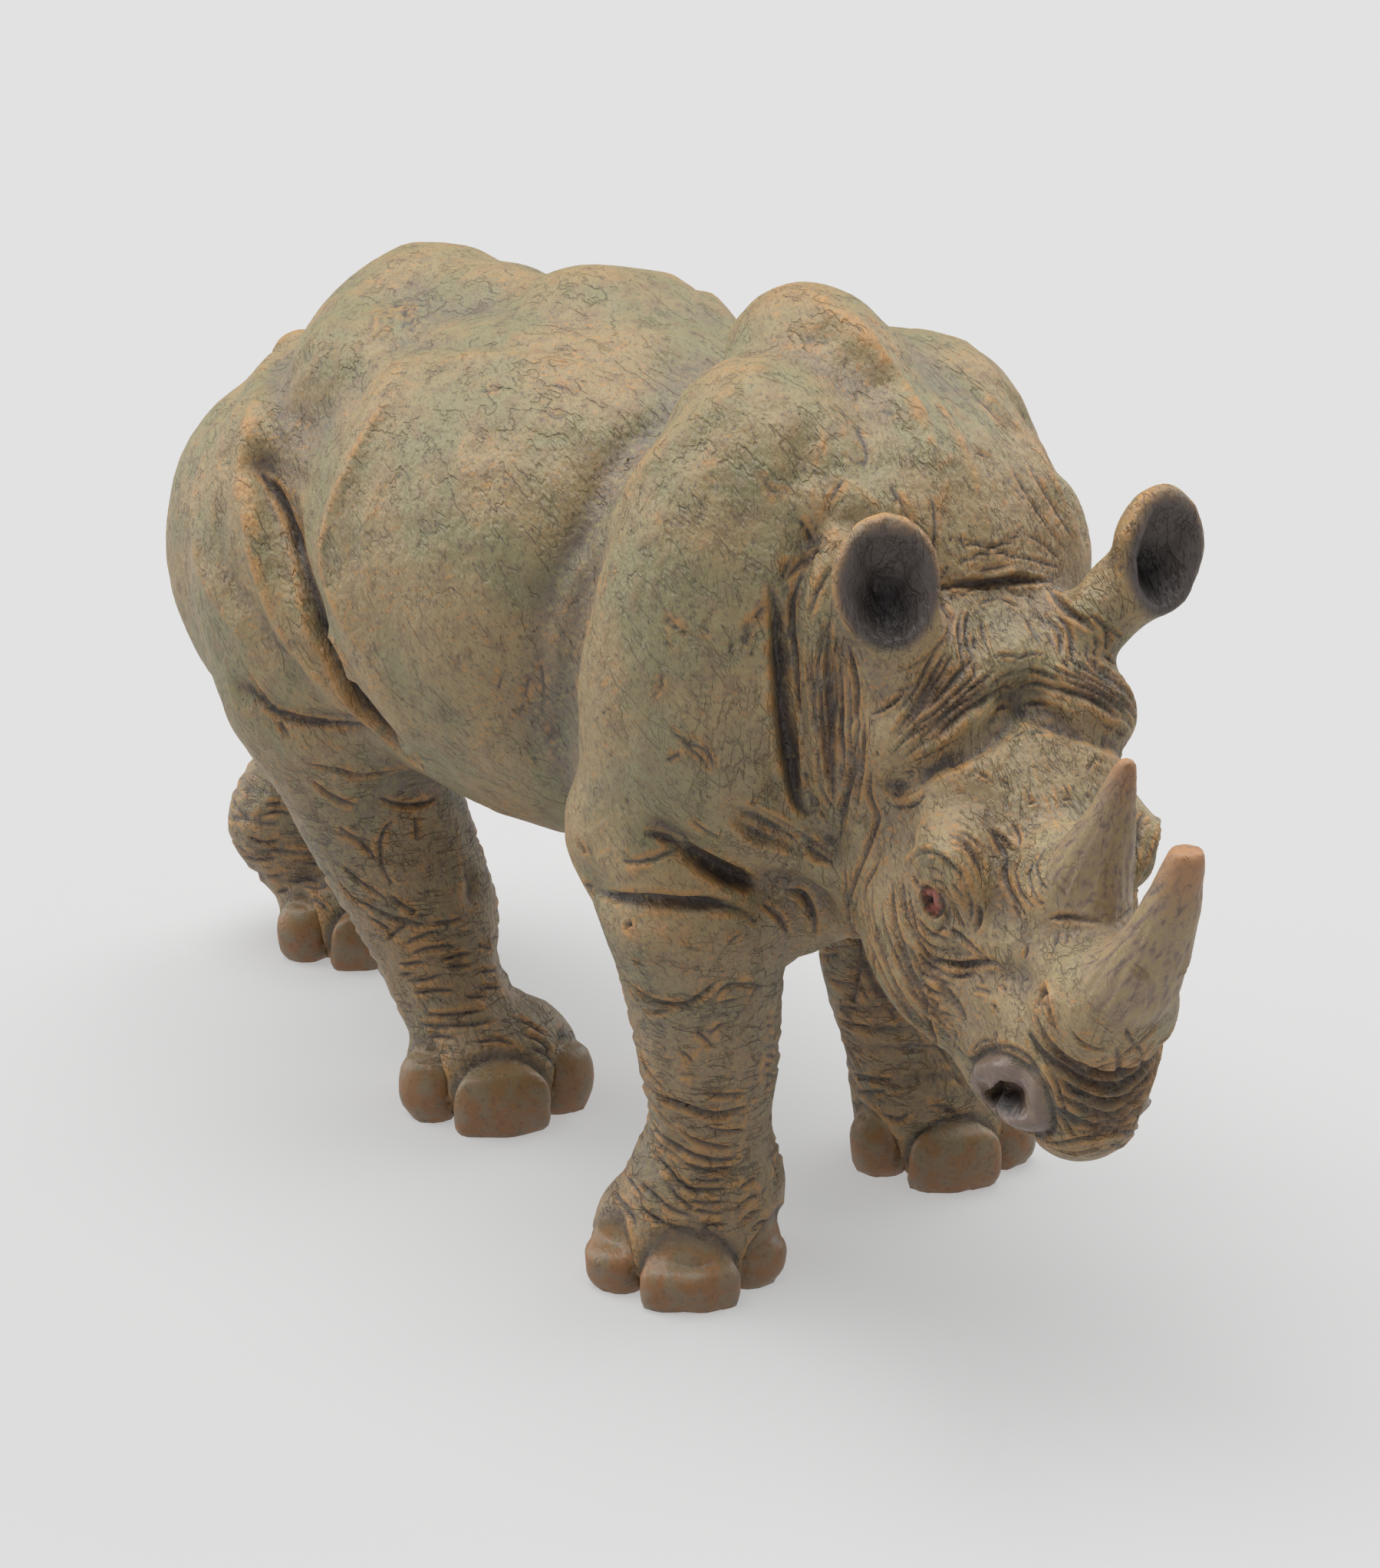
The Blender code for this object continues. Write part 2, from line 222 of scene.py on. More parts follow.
def ridge(width: float, depth: float, *path: Pixel) -> Stroke:
    """A soft ridge: half its width, its height and a few points of its path."""
    return Stroke(path, width, depth, Profile.RIDGE)


@dataclass(frozen=True)
class PhotoView:
    """The camera that took the photograph, as far as the picture shows it.

    Attributes:
        azimuth: degrees round the figure from its front.
        elevation: degrees above the floor.
        distance: from the camera to the target.
        focal: the focal length in pixels of the frame.
        target: the point in the middle of the frame.
        width: the frame's width in pixels.
        height: the frame's height in pixels.
    """

    azimuth: float = -39.0
    elevation: float = 20.0
    distance: float = 500.0
    focal: float = 4806.0
    target: Point = (0.6, 0.8, 55.0)
    width: int = 1799
    height: int = 2044

    def axes(self) -> tuple[np.ndarray, np.ndarray, np.ndarray]:
        """The camera's own axes.

        Returns:
            The directions to its right, up and back.
        """
        turn, rise = math.radians(self.azimuth), math.radians(self.elevation)
        back = np.array((math.sin(turn) * math.cos(rise), -math.cos(turn) * math.cos(rise), math.sin(rise)))
        right = np.array((math.cos(turn), math.sin(turn), 0.0))
        return right, np.cross(back, right), back

    def eye(self) -> np.ndarray:
        """Where the camera stands."""
        return np.array(self.target) + self.axes()[2] * self.distance

    def ray(self, pixel: Sequence[float]) -> np.ndarray:
        """The direction in which a pixel of the frame looks.

        Args:
            pixel: across and down, from the frame's upper left corner.

        Returns:
            The direction, of length 1.
        """
        right, up, back = self.axes()
        across = (pixel[0] - self.width / 2.0) / self.focal
        down = (pixel[1] - self.height / 2.0) / self.focal
        aim = right * across - up * down - back
        return aim / np.linalg.norm(aim)

    def project(self, points: np.ndarray) -> np.ndarray:
        """Where points appear on the frame.

        Args:
            points: places on the figure, one in each row.

        Returns:
            Pixels across and down, one pair in each row.
        """
        right, up, back = self.axes()
        away = points - self.eye()
        depth = -(away @ back)
        across = self.width / 2.0 + self.focal * (away @ right) / depth
        return np.column_stack([across, self.height / 2.0 - self.focal * (away @ up) / depth])

    def camera(self) -> bpy.types.Object:
        """Makes the scene's camera.

        Returns:
            The camera object, made the scene's own.
        """
        data = bpy.data.cameras.new("photo_camera")
        data.sensor_fit = "VERTICAL"
        data.sensor_height = 36.0
        data.lens = self.focal / self.height * 36.0
        data.clip_start = 0.01
        data.dof.use_dof = False
        made = bpy.data.objects.new("photo_camera", data)
        bpy.context.scene.collection.objects.link(made)
        right, up, back = (Vector(axis) for axis in self.axes())
        turn = Matrix((right, up, back)).transposed()
        made.matrix_world = Matrix.Translation(Vector(self.eye()) * MM) @ turn.to_4x4()
        bpy.context.scene.camera = made
        return made


@dataclass(frozen=True)
class HeadFrame:
    """The head's own axes: the origin at the poll, -Y towards the muzzle and +Z out of the forehead.

    Attributes:
        poll: where the head joins the neck.
        turn: degrees about the vertical.
        dip: degrees of the nose downwards.
    """

    poll: Point = (-3.4, -60.2, 101.0)
    turn: float = HEAD_TURN
    dip: float = HEAD_DIP

    def matrix(self) -> np.ndarray:
        """The rotation from the head's axes to the figure's.

        Returns:
            A 3 x 3 matrix.
        """
        turn = Matrix.Rotation(math.radians(self.turn), 3, "Z")
        dip = Matrix.Rotation(math.radians(self.dip), 3, "X")
        return np.array(turn @ dip)

    def inside(self, points: np.ndarray) -> np.ndarray:
        """Points on the head's axes.

        Args:
            points: places on the figure, one in each row.

        Returns:
            The same places seen from the head.
        """
        return (points - np.array(self.poll)) @ self.matrix()

    def outside(self, points: np.ndarray) -> np.ndarray:
        """Places on the head's axes, taken back to the figure.

        Args:
            points: places seen from the head, one in each row.

        Returns:
            The same places on the figure.
        """
        return points @ self.matrix().T + np.array(self.poll)


class Hide:
    """The figure's skin as arrays, with the tools that carve it.

    Attributes:
        mesh: Blender's mesh of the skin.
        points: its points.
        normals: the direction out of the skin at each point.
        ink: how much dark wash each carved point holds, from 0 to 1.
        lip: how much each point lies on the lip of a crease, from 0 to 1.
        press: how hard the tool is pressed into each crease.
        mould: how strongly each soft trough and ridge is modelled.
        run_out: how steeply a stroke's ends run out.
        lip_rise: how high a crease's lips stand, as a share of its depth.
        far_share: the strength of a stroke's copy on the far side.
    """

    press = 1.35
    mould = 1.5
    run_out = 3.2
    lip_rise = 0.38
    far_share = 0.85

    def __init__(self, mesh: bpy.types.Mesh) -> None:
        """Reads the mesh.

        Args:
            mesh: a fine, closed skin in metres.
        """
        self.mesh = mesh
        count = len(mesh.vertices)
        flat = np.empty(count * 3, np.float32)
        mesh.vertices.foreach_get("co", flat)
        self.points = flat.reshape(-1, 3).astype(float) / MM
        pairs = np.empty(len(mesh.edges) * 2, np.int32)
        mesh.edges.foreach_get("vertices", pairs)
        self.pairs = pairs.reshape(-1, 2)
        self.neighbours = np.maximum(np.bincount(pairs, minlength=count), 1)
        self.cut = np.zeros(count)
        self.swell = np.zeros(count)
        self.ink = np.zeros(count)
        self.lip = np.zeros(count)
        self.normals = self._normals()
        self.tree = self.search_tree()

    def _normals(self) -> np.ndarray:
        """Reads the mesh's normals.

        Returns:
            The direction out of the skin at each point.
        """
        flat = np.empty(len(self.points) * 3, np.float32)
        self.mesh.vertices.foreach_get("normal", flat)
        return flat.reshape(-1, 3).astype(float)

    def search_tree(self) -> BVHTree:
        """A search tree over the skin's faces."""
        faces = [tuple(face.vertices) for face in self.mesh.polygons]
        return BVHTree.FromPolygons(self.points.tolist(), faces)

    def write(self) -> None:
        """Puts the points back into the mesh and reads the new directions."""
        self.mesh.vertices.foreach_set("co", (self.points * MM).astype(np.float32).ravel())
        self.mesh.update()
        self.normals = self._normals()

    def average(self, values: np.ndarray, rounds: int) -> np.ndarray:
        """Values evened out between neighbours.

        Args:
            values: one number, or one row, for each point.
            rounds: how many times each is set to the mean around it.

        Returns:
            The evened values.
        """
        first, second = self.pairs.T
        count = len(values)
        columns = values.reshape(count, -1).astype(float)
        for _ in range(rounds):
            total = np.empty_like(columns)
            for column in range(columns.shape[1]):
                one = columns[:, column]
                total[:, column] = (np.bincount(first, one[second], count)
                                    + np.bincount(second, one[first], count))
            columns = 0.5 * columns + 0.5 * total / self.neighbours[:, None]
        return columns.reshape(values.shape)

    def cast(self, view: PhotoView, path: Sequence[Pixel]) -> np.ndarray:
        """The places on the skin that a stroke on the photograph's frame runs over.

        Args:
            view: the camera.
            path: the stroke, in pixels.

        Returns:
            Places close together along the stroke, one in each row.
        """
        line = np.array(path, float)
        length = np.linalg.norm(np.diff(line, axis=0), axis=1).sum()
        origin = Vector(view.eye())
        found = []
        for pixel in resample(line, max(3, int(length / 1.8))):
            place = self.tree.ray_cast(origin, Vector(view.ray(pixel)))[0]
            if place is not None:
                found.append(place)
        return np.array(found)

    def snap(self, places: np.ndarray) -> np.ndarray:
        """The nearest places on the skin.

        Args:
            places: places near the skin, one in each row.

        Returns:
            Places on the skin, one in each row.
        """
        return np.array([self.tree.find_nearest(Vector(place))[0] for place in places])

    def carve(self, line: np.ndarray, width: float, depth: float, profile: Profile) -> None:
        """Carves one stroke along places on the skin.

        Args:
            line: places on the skin, close together.
            width: half the width of the stroke.
            depth: how deep it goes, or how high a ridge stands.
            profile: the section across the line.
        """
        if len(line) < 3:
            return
        reach = 3.2 * width
        inside = np.flatnonzero(np.all((self.points > line.min(axis=0) - reach)
                                       & (self.points < line.max(axis=0) + reach), axis=1))
        if not len(inside):
            return
        near = np.full(len(inside), np.inf)
        share = np.zeros(len(inside))
        for number, place in enumerate(line):
            gap = ((self.points[inside] - place) ** 2).sum(axis=1)
            closer = gap < near
            near[closer] = gap[closer]
            share[closer] = number / (len(line) - 1)
        ends = np.clip(np.minimum(share, 1.0 - share) * self.run_out, 0.0, 1.0) ** 0.7
        near = np.sqrt(near) / (width * (0.5 + 0.5 * ends))
        if profile is Profile.CREASE:
            depth *= self.press
            dark = ends * min(1.0, 0.45 + 0.8 * depth)
            beside = np.exp(-((near - 1.7) / 0.8) ** 2)
            self.cut[inside] = np.minimum(self.cut[inside], -depth * ends * np.exp(-near ** 1.5 * 1.6))
            self.swell[inside] = np.maximum(self.swell[inside], self.lip_rise * depth * ends * beside)
            self.ink[inside] = np.maximum(self.ink[inside], dark * np.exp(-near ** 2 * 1.1))
            self.lip[inside] = np.maximum(self.lip[inside], dark * beside)
        else:
            sign = -self.mould if profile is Profile.HOLLOW else self.mould
            push = sign * depth * ends * np.exp(-near ** 2)
            self.points[inside] += self.normals[inside] * push[:, None]

    def draw(self, view: PhotoView, marks: Iterable[Stroke | Pleats], other: Mirror | None) -> None:
        """Carves strokes that were drawn on the photograph's frame, and their copies on the far side.

        Args:
            view: the camera.
            marks: strokes and families of strokes.
            other: takes a place to the other flank, or None where the far side has marks of its own.
        """
        strokes = []
        for mark in marks:
            strokes += mark.strokes() if isinstance(mark, Pleats) else [mark]
        strokes.sort(key=lambda stroke: stroke.profile is Profile.CREASE)
        for stroke in strokes:
            line = self.cast(view, stroke.path)
            if len(line) < 3:
                continue
            self.carve(line, stroke.width, stroke.depth, stroke.profile)
            if stroke.sides is Sides.BOTH and other is not None:
                depth = stroke.depth * self.far_share
                self.carve(self.snap(other.place(line)), stroke.width, depth, stroke.profile)

    def settle(self) -> None:
        """Moves the points by what was carved since the last call."""
        move = self.cut + self.swell * np.exp(self.cut * 6.0)
        self.points += self.normals * move[:, None]
        self.cut[:] = 0.0
        self.swell[:] = 0.0
        self.write()


@dataclass(frozen=True)
class Mirror:
    """Takes a place on one flank to the other.

    Attributes:
        frame: the head's axes, or None for the trunk.
        back: how far the copy of a mark on the hindquarters lies further back.
    """

    frame: HeadFrame | None = None
    back: float = 0.0

    def place(self, points: np.ndarray) -> np.ndarray:
        """The mirrored places.

        Args:
            points: places on the figure, one in each row.

        Returns:
            Places near the other flank.
        """
        if self.frame is None:
            moved = points * (-1.0, 1.0, 1.0) + (-4.8, 0.0, 0.0)
            moved[:, 1] += self.back * smoothstep(15.0, 45.0, points[:, 1])
            return moved
        return self.frame.outside(self.frame.inside(points) * (-1.0, 1.0, 1.0))


@dataclass(frozen=True)
class SkinMaker:
    """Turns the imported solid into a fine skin, and thins the carved skin at the end.

    Attributes:
        voxel: the size of the fine skin's faces.
        most: the most triangles that the finished skin may have.
        lump_size: the size of the unevenness that a sculptor's hand leaves.
        lump_depth: its height.
        grain_size: the size of the hide's pebbles.
        grain_depth: their height.
        seed: fixes the noise.
        fill_rounds: how widely the bulk that rounding took is evened out.
    """

    voxel: float = 0.40
    draft_voxel: float = 0.6
    most: int = 193000
    lump_size: float = 5.5
    lump_depth: float = 0.5
    grain_size: float = 1.1
    grain_depth: float = 0.16
    seed: float = 4.0
    fill_rounds: int = 25

    def fine(self, node: bpy.types.Object) -> bpy.types.Mesh:
        """A fine, smooth skin with the solid's form.

        Args:
            node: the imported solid.

        Returns:
            The new mesh, in metres.
        """
        shape = bmesh.new()
        shape.from_mesh(node.data)
        bmesh.ops.remove_doubles(shape, verts=shape.verts, dist=1e-6)
        mesh = bpy.data.meshes.new("skin")
        shape.to_mesh(mesh)
        shape.free()
        work = bpy.data.objects.new("skin_work", mesh)
        bpy.context.scene.collection.objects.link(work)
        round_off = work.modifiers.new("round", "SUBSURF")
        round_off.levels = 2
        round_off.render_levels = 2
        remesh = work.modifiers.new("fine", "REMESH")
        remesh.mode = "VOXEL"
        remesh.voxel_size = self.voxel * MM
        even = work.modifiers.new("even", "SMOOTH")
        even.factor = 0.5
        even.iterations = 6
        return self.filled(baked(work), node)

    def filled(self, mesh: bpy.types.Mesh, node: bpy.types.Object) -> bpy.types.Mesh:
        """Gives the fine skin back the bulk that rounding took from it.

        Args:
            mesh: the fine skin, in metres.
            node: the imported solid.

        Returns:
            The same mesh, moved.
        """
        hide = Hide(mesh)
        faces = [tuple(face.vertices) for face in node.data.polygons]
        solid = BVHTree.FromPolygons([tuple(v.co / MM) for v in node.data.vertices], faces)
        nearest = np.array([solid.find_nearest(Vector(place))[0] for place in hide.points])
        short = ((nearest - hide.points) * hide.normals).sum(axis=1)
        hide.points += hide.normals * hide.average(short, self.fill_rounds)[:, None]
        hide.points[:, 2] = np.where(hide.points[:, 2] < 0.3, 0.0, hide.points[:, 2])
        hide.write()
        return mesh

    def pebble_tree(self, material: bpy.types.Material) -> bpy.types.NodeTree:
        """The node tree that gives the hide its unevenness and pebbles.

        Args:
            material: what the skin is painted with.

        Returns:
            A geometry tree with named inputs.
        """
        tree = bpy.data.node_groups.new("hide_pebbles", "GeometryNodeTree")
        face = tree.interface
        face.new_socket("Geometry", in_out="INPUT", socket_type="NodeSocketGeometry")
        for name in ("Lump size", "Lump depth", "Grain size", "Grain depth", "Seed"):
            face.new_socket(name, in_out="INPUT", socket_type="NodeSocketFloat")
        face.new_socket("Geometry", in_out="OUTPUT", socket_type="NodeSocketGeometry")
        bench = Bench(tree)
        given = tree.nodes.new("NodeGroupInput").outputs
        place = bench.node("GeometryNodeInputPosition", {})
        normal = bench.node("GeometryNodeInputNormal", {})
        uneven = bench.node("GeometryNodeInputNamedAttribute", {"Name": "uneven"}, data_type="FLOAT")
        heights = []
        for size, depth in (("Lump size", "Lump depth"), ("Grain size", "Grain depth")):
            noise = bench.node("ShaderNodeTexNoise", {
                "Vector": place, "W": given["Seed"], "Scale": bench.math("DIVIDE", 1.0, given[size]),
                "Detail": 1.5}, noise_dimensions="4D")
            heights.append(bench.product(bench.math("SUBTRACT", noise, 0.5), given[depth]))
        height = bench.product(bench.sum(heights), uneven)
        along = bench.node("ShaderNodeVectorMath", {0: normal, "Scale": height}, operation="SCALE")
        moved = bench.node("GeometryNodeSetPosition", {"Geometry": given["Geometry"], "Offset": along})
        real = bench.node("GeometryNodeRealizeInstances", {0: moved})
        painted = bench.node("GeometryNodeSetMaterial", {"Geometry": real, "Material": material})
        bench.join(painted, tree.nodes.new("NodeGroupOutput").inputs[0])
        return tree

    def pebbled(self, mesh: bpy.types.Mesh, material: bpy.types.Material) -> bpy.types.Mesh:
        """The skin with its unevenness.

        Args:
            mesh: the carved skin, with an attribute "uneven" that says how much each point takes.
            material: what the skin is painted with.

        Returns:
            The new mesh.
        """
        work = bpy.data.objects.new("skin_work", mesh)
        bpy.context.scene.collection.objects.link(work)
        tree = self.pebble_tree(material)
        modifier = work.modifiers.new("pebbles", "NODES")
        modifier.node_group = tree
        sizes = {"Lump size": self.lump_size * MM, "Lump depth": self.lump_depth * MM,
                 "Grain size": self.grain_size * MM, "Grain depth": self.grain_depth * MM,
                 "Seed": self.seed}
        for socket in tree.interface.items_tree:
            if socket.name in sizes:
                modifier[socket.identifier] = sizes[socket.name]
        return baked(work)

    def thinned(self, mesh: bpy.types.Mesh, keep: np.ndarray) -> bpy.types.Mesh:
        """The skin with fewer faces, most of them where they show.

        Args:
            mesh: the carved skin.
            keep: for each point, from 0 where faces may go to 1 where they stay.

        Returns:
            The thinned mesh.
        """
        work = bpy.data.objects.new("skin_work", mesh)
        bpy.context.scene.collection.objects.link(work)
        group = work.vertex_groups.new(name="thin")
        levels = np.round((1.0 - keep) * 20.0).astype(int)
        for level in range(1, 21):
            group.add(np.flatnonzero(levels == level).tolist(), level / 20.0, "REPLACE")
        thin = work.modifiers.new("thin", "DECIMATE")
        thin.ratio = min(1.0, self.most / (2.0 * len(mesh.polygons)))
        thin.vertex_group = group.name
        thin.vertex_group_factor = 0.6
        thin.use_collapse_triangulate = True
        return baked(work)


def baked(work: bpy.types.Object) -> bpy.types.Mesh:
    """What an object's modifiers make of its mesh; the object is removed.

    Args:
        work: a scratch object.

    Returns:
        The new mesh.
    """
    graph = bpy.context.evaluated_depsgraph_get()
    made = bpy.data.meshes.new_from_object(work.evaluated_get(graph))
    bpy.data.objects.remove(work)
    return made


class Bench:
    """A small kit for wiring a material's nodes."""

    def __init__(self, tree: bpy.types.NodeTree) -> None:
        """Takes the material's tree.

        Args:
            tree: the tree that gets the nodes.
        """
        self.tree = tree

    def join(self, source: object, socket: bpy.types.NodeSocket) -> None:
        """Gives an input what it needs.

        Args:
            source: an output to link, or a value to hold.
            socket: the input.
        """
        if isinstance(source, bpy.types.NodeSocket):
            self.tree.links.new(source, socket)
        else:
            socket.default_value = source

    def node(self, kind: str, inputs: dict[int | str, object], output: int | str = 0,
             **settings: object) -> bpy.types.NodeSocket:
        """Adds a node.

        Args:
            kind: Blender's name for the node.
            inputs: what each input gets.
            output: the output that is wanted.
            **settings: the node's own settings.

        Returns:
            That output.
        """
        node = self.tree.nodes.new(kind)
        for name, value in settings.items():
            setattr(node, name, value)
        for socket, source in inputs.items():
            self.join(source, node.inputs[socket])
        return node.outputs[output]

    def place(self) -> bpy.types.NodeSocket:
        """Object coordinates, in metres."""
        return self.node("ShaderNodeTexCoord", {}, "Object")

    def attribute(self, name: str) -> bpy.types.NodeSocket:
        """The number that each point of the skin carries under a name."""
        return self.node("ShaderNodeAttribute", {}, "Fac", attribute_name=name)

    def noise(self, place: object, scale: float, detail: float, turn: Point = (0.0, 0.0, 0.0),
              stretch: Point = AS_IT_IS) -> bpy.types.NodeSocket:
        """Cloudy noise.

        Args:
            place: the coordinates that it follows.
            scale: how fine it is, per metre.
            detail: how many finer layers it has.
            turn: radians by which its own axes are turned.
            stretch: how far it is drawn out along them.

        Returns:
            The noise, from 0 to 1.
        """
        if stretch != AS_IT_IS:
            place = self.node("ShaderNodeMapping", {"Vector": place, "Rotation": turn, "Scale": stretch},
                              vector_type="TEXTURE")
        return self.node("ShaderNodeTexNoise", {"Vector": place, "Scale": scale, "Detail": detail})

    def height(self, place: object) -> bpy.types.NodeSocket:
        """How high above the floor each place lies, in metres."""
        return self.node("ShaderNodeSeparateXYZ", {0: place}, 2)

    def ramp(self, value: object, low: float, high: float) -> bpy.types.NodeSocket:
        """A soft step of a value from low to high."""
        return self.node("ShaderNodeMapRange", {"Value": value, "From Min": low, "From Max": high},
                         interpolation_type="SMOOTHSTEP")

    def math(self, kind: str, first: object, second: object) -> bpy.types.NodeSocket:
        """One step of arithmetic."""
        return self.node("ShaderNodeMath", {0: first, 1: second}, operation=kind)

    def scaled(self, value: object, by: float) -> bpy.types.NodeSocket:
        """A value times a number."""
        return self.math("MULTIPLY", value, by)

    def shift(self, value: object, by: float) -> bpy.types.NodeSocket:
        """A value plus a number."""
        return self.math("ADD", value, by)

    def product(self, first: object, second: object) -> bpy.types.NodeSocket:
        """Two values multiplied."""
        return self.math("MULTIPLY", first, second)

    def largest(self, first: object, *others: object) -> bpy.types.NodeSocket:
        """The largest of several values."""
        return reduce(lambda found, other: self.math("MAXIMUM", found, other), others, first)

    def sum(self, values: Sequence[object]) -> bpy.types.NodeSocket:
        """Several values added up."""
        return reduce(lambda total, value: self.math("ADD", total, value), values)

    def mix(self, share: object, first: object, second: object) -> bpy.types.NodeSocket:
        """A blend of two colours; share 0 gives the first."""
        return self.node("ShaderNodeMix", {0: share, 6: first, 7: second}, 2, data_type="RGBA")

    def mixed_value(self, share: object, first: object, second: object) -> bpy.types.NodeSocket:
        """A blend of two numbers; share 0 gives the first."""
        return self.node("ShaderNodeMix", {0: share, 2: first, 3: second})

    def bump(self, height: object, strength: float, distance: float) -> bpy.types.NodeSocket:
        """A normal that follows a height."""
        return self.node("ShaderNodeBump", {"Strength": strength, "Distance": distance, "Height": height})


@dataclass(frozen=True)
class PaintedVinyl:
    """The finish: matt paint on soft vinyl, with a dark wash in the creases and dry brushing on the ridges.

    Attributes:
        olive: the tan that covers most of the figure.
        moss: the greyer green between.
        umber: the brown of the legs and belly.
        shade: a thin grey, laid in the broad troughs as painted shade and mottled over the legs and head.
        wash: the purple grey that settles in the creases.
        pale: a lighter tan laid over the head and neck as painted light, to lift them.
        brush: the orange brown dry-brushed on the ridges.
        nail: the smooth toenails.
        horn: the horns.
        tip: the rubbed tips of the horns.
        cup: the inside of the ears.
        cup_shade: painted shade in the deepest part of them.
        lining: the lining of the nostrils.
        eye: the eye.
        dark: the pupil's paint, and painted shade in the depth of the nostrils.
        roughness: how matt the paint is.
        nail_roughness: how matt the nails are.
        wet_roughness: how matt the eyes and the damp nostrils are.
        patch_scale: how fine the broad patches are, per metre.
        mottle_scale: the same for the mottling in them.
        fleck_scale: the same for the flecks of the brushed paint.
        streak_scale: the same for the streaks up the horns.
        crack_depth: the depth of the finest relief, in metres.
    """

    olive: Colour = (0.335, 0.247, 0.124, 1.0)
    moss: Colour = (0.250, 0.228, 0.116, 1.0)
    umber: Colour = (0.235, 0.160, 0.092, 1.0)
    shade: Colour = (0.150, 0.124, 0.112, 1.0)
    wash: Colour = (0.058, 0.048, 0.052, 1.0)
    pale: Colour = (0.46, 0.330, 0.170, 1.0)
    brush: Colour = (0.480, 0.252, 0.084, 1.0)
    nail: Colour = (0.27, 0.130, 0.050, 1.0)
    horn: Colour = (0.30, 0.205, 0.135, 1.0)
    tip: Colour = (0.40, 0.195, 0.090, 1.0)
    cup: Colour = (0.110, 0.087, 0.078, 1.0)
    cup_shade: Colour = (0.018, 0.014, 0.013, 1.0)
    lining: Colour = (0.200, 0.142, 0.118, 1.0)
    eye: Colour = (0.50, 0.185, 0.14, 1.0)
    dark: Colour = (0.020, 0.014, 0.012, 1.0)
    roughness: float = 0.50
    nail_roughness: float = 0.42
    wet_roughness: float = 0.18
    patch_scale: float = 75.0
    mottle_scale: float = 420.0
    fleck_scale: float = 2600.0
    streak_scale: float = 1500.0
    crack_depth: float = 0.0008

    def hide_colour(self, bench: Bench, place: object, lines: object) -> object:
        """The skin's paint: patches, dry brushing, wash and flecks, with painted light on the head, neck
        and upper swellings and painted shade in the broad troughs.

        Args:
            bench: wires the nodes.
            place: the coordinates that the patterns follow.
            lines: where the finest wrinkles run, from 0 to 1.

        Returns:
            The colour.
        """
        patches = bench.noise(place, self.patch_scale, 3.0)
        mottle = bench.noise(place, self.mottle_scale, 5.0)
        swept = bench.noise(place, self.fleck_scale, 3.0, (0.8, 0.0, 0.0), (1.0, 2.6, 1.0))
        dabs = bench.noise(place, self.fleck_scale * 0.5, 4.0, (-0.5, 0.3, 0.0), (1.0, 2.4, 1.0))
        low = bench.ramp(bench.height(place), 0.070, 0.022)
        colour = bench.mix(bench.ramp(patches, 0.40, 0.62), self.olive, self.moss)
        colour = bench.mix(bench.scaled(bench.ramp(mottle, 0.46, 0.66), 0.60), colour, self.umber)
        colour = bench.mix(bench.scaled(low, 0.45), colour, self.umber)
        ringed, netted = bench.attribute("ringed"), bench.attribute("netted")
        # Painted light: the head and neck are lifted towards a lighter tan.
        colour = bench.mix(bench.scaled(netted, 0.62), colour, self.pale)
        veil = bench.product(bench.largest(ringed, netted), bench.ramp(dabs, 0.46, 0.60))
        colour = bench.mix(bench.scaled(veil, 0.50), colour, self.shade)
        # Painted shade: a thin grey darkens the broad troughs of the body.
        grey = bench.product(bench.attribute("trough"), bench.ramp(dabs, 0.28, 0.54))
        colour = bench.mix(bench.scaled(grey, 0.60), colour, self.shade)
        # Dry-brushed ochre on the broad upper swellings, which also stands as painted light on the top of
        # the body.
        brushed_swell_light = bench.product(bench.attribute("swelling"), bench.ramp(dabs, 0.66, 0.40))
        colour = bench.mix(bench.scaled(brushed_swell_light, 0.34), colour, self.brush)
        crest, hollow = bench.attribute("crest"), bench.attribute("hollow")
        raised = bench.largest(bench.ramp(crest, 0.10, 0.75), bench.attribute("lip"))
        rubbed = bench.product(raised, bench.ramp(mottle, 0.36, 0.56))
        colour = bench.mix(bench.scaled(rubbed, 0.78), colour, self.brush)
        dabbed = bench.product(bench.ramp(dabs, 0.54, 0.68), bench.ramp(patches, 0.62, 0.38))
        colour = bench.mix(bench.scaled(dabbed, 0.66), colour, self.brush)
        colour = bench.mix(bench.scaled(bench.ramp(swept, 0.54, 0.70), 0.52), colour, self.wash)
        sunk = bench.scaled(bench.ramp(hollow, 0.15, 0.95), 0.85)
        settled = bench.largest(bench.attribute("ink"), sunk)
        settled = bench.product(settled, bench.ramp(dabs, 0.16, 0.44))
        settled = bench.largest(settled, bench.scaled(lines, 0.38))
        return bench.mix(bench.scaled(settled, 0.88), colour, self.wash)

    def wrinkles(self, bench: Bench, place: object) -> object:
        """The finest wrinkles, too fine for the mesh: level on the legs and netted on the head and neck.

        Args:
            bench: wires the nodes.
            place: the coordinates that the patterns follow.

        Returns:
            Where the wrinkles run, from 0 to 1.
        """
        found = []
        for weight, scale, turn, stretch in (
                (bench.attribute("ringed"), 700.0, (0.0, 0.0, 0.0), (4.5, 4.5, 1.0)),
                (bench.attribute("netted"), 900.0, HEAD_TO_FIGURE, (1.0, 4.5, 4.5)),
                (0.50, 420.0, (0.75, 0.2, 0.35), (1.0, 5.0, 1.4))):
            waves = bench.noise(place, scale, 3.5, turn, stretch)
            off = bench.math("ABSOLUTE", bench.shift(waves, -0.5), 0.0)
            found.append(bench.product(bench.ramp(off, 0.026, 0.004), weight))
        broken = bench.ramp(bench.noise(place, 300.0, 2.0), 0.40, 0.56)
        return bench.product(bench.largest(*found), broken)

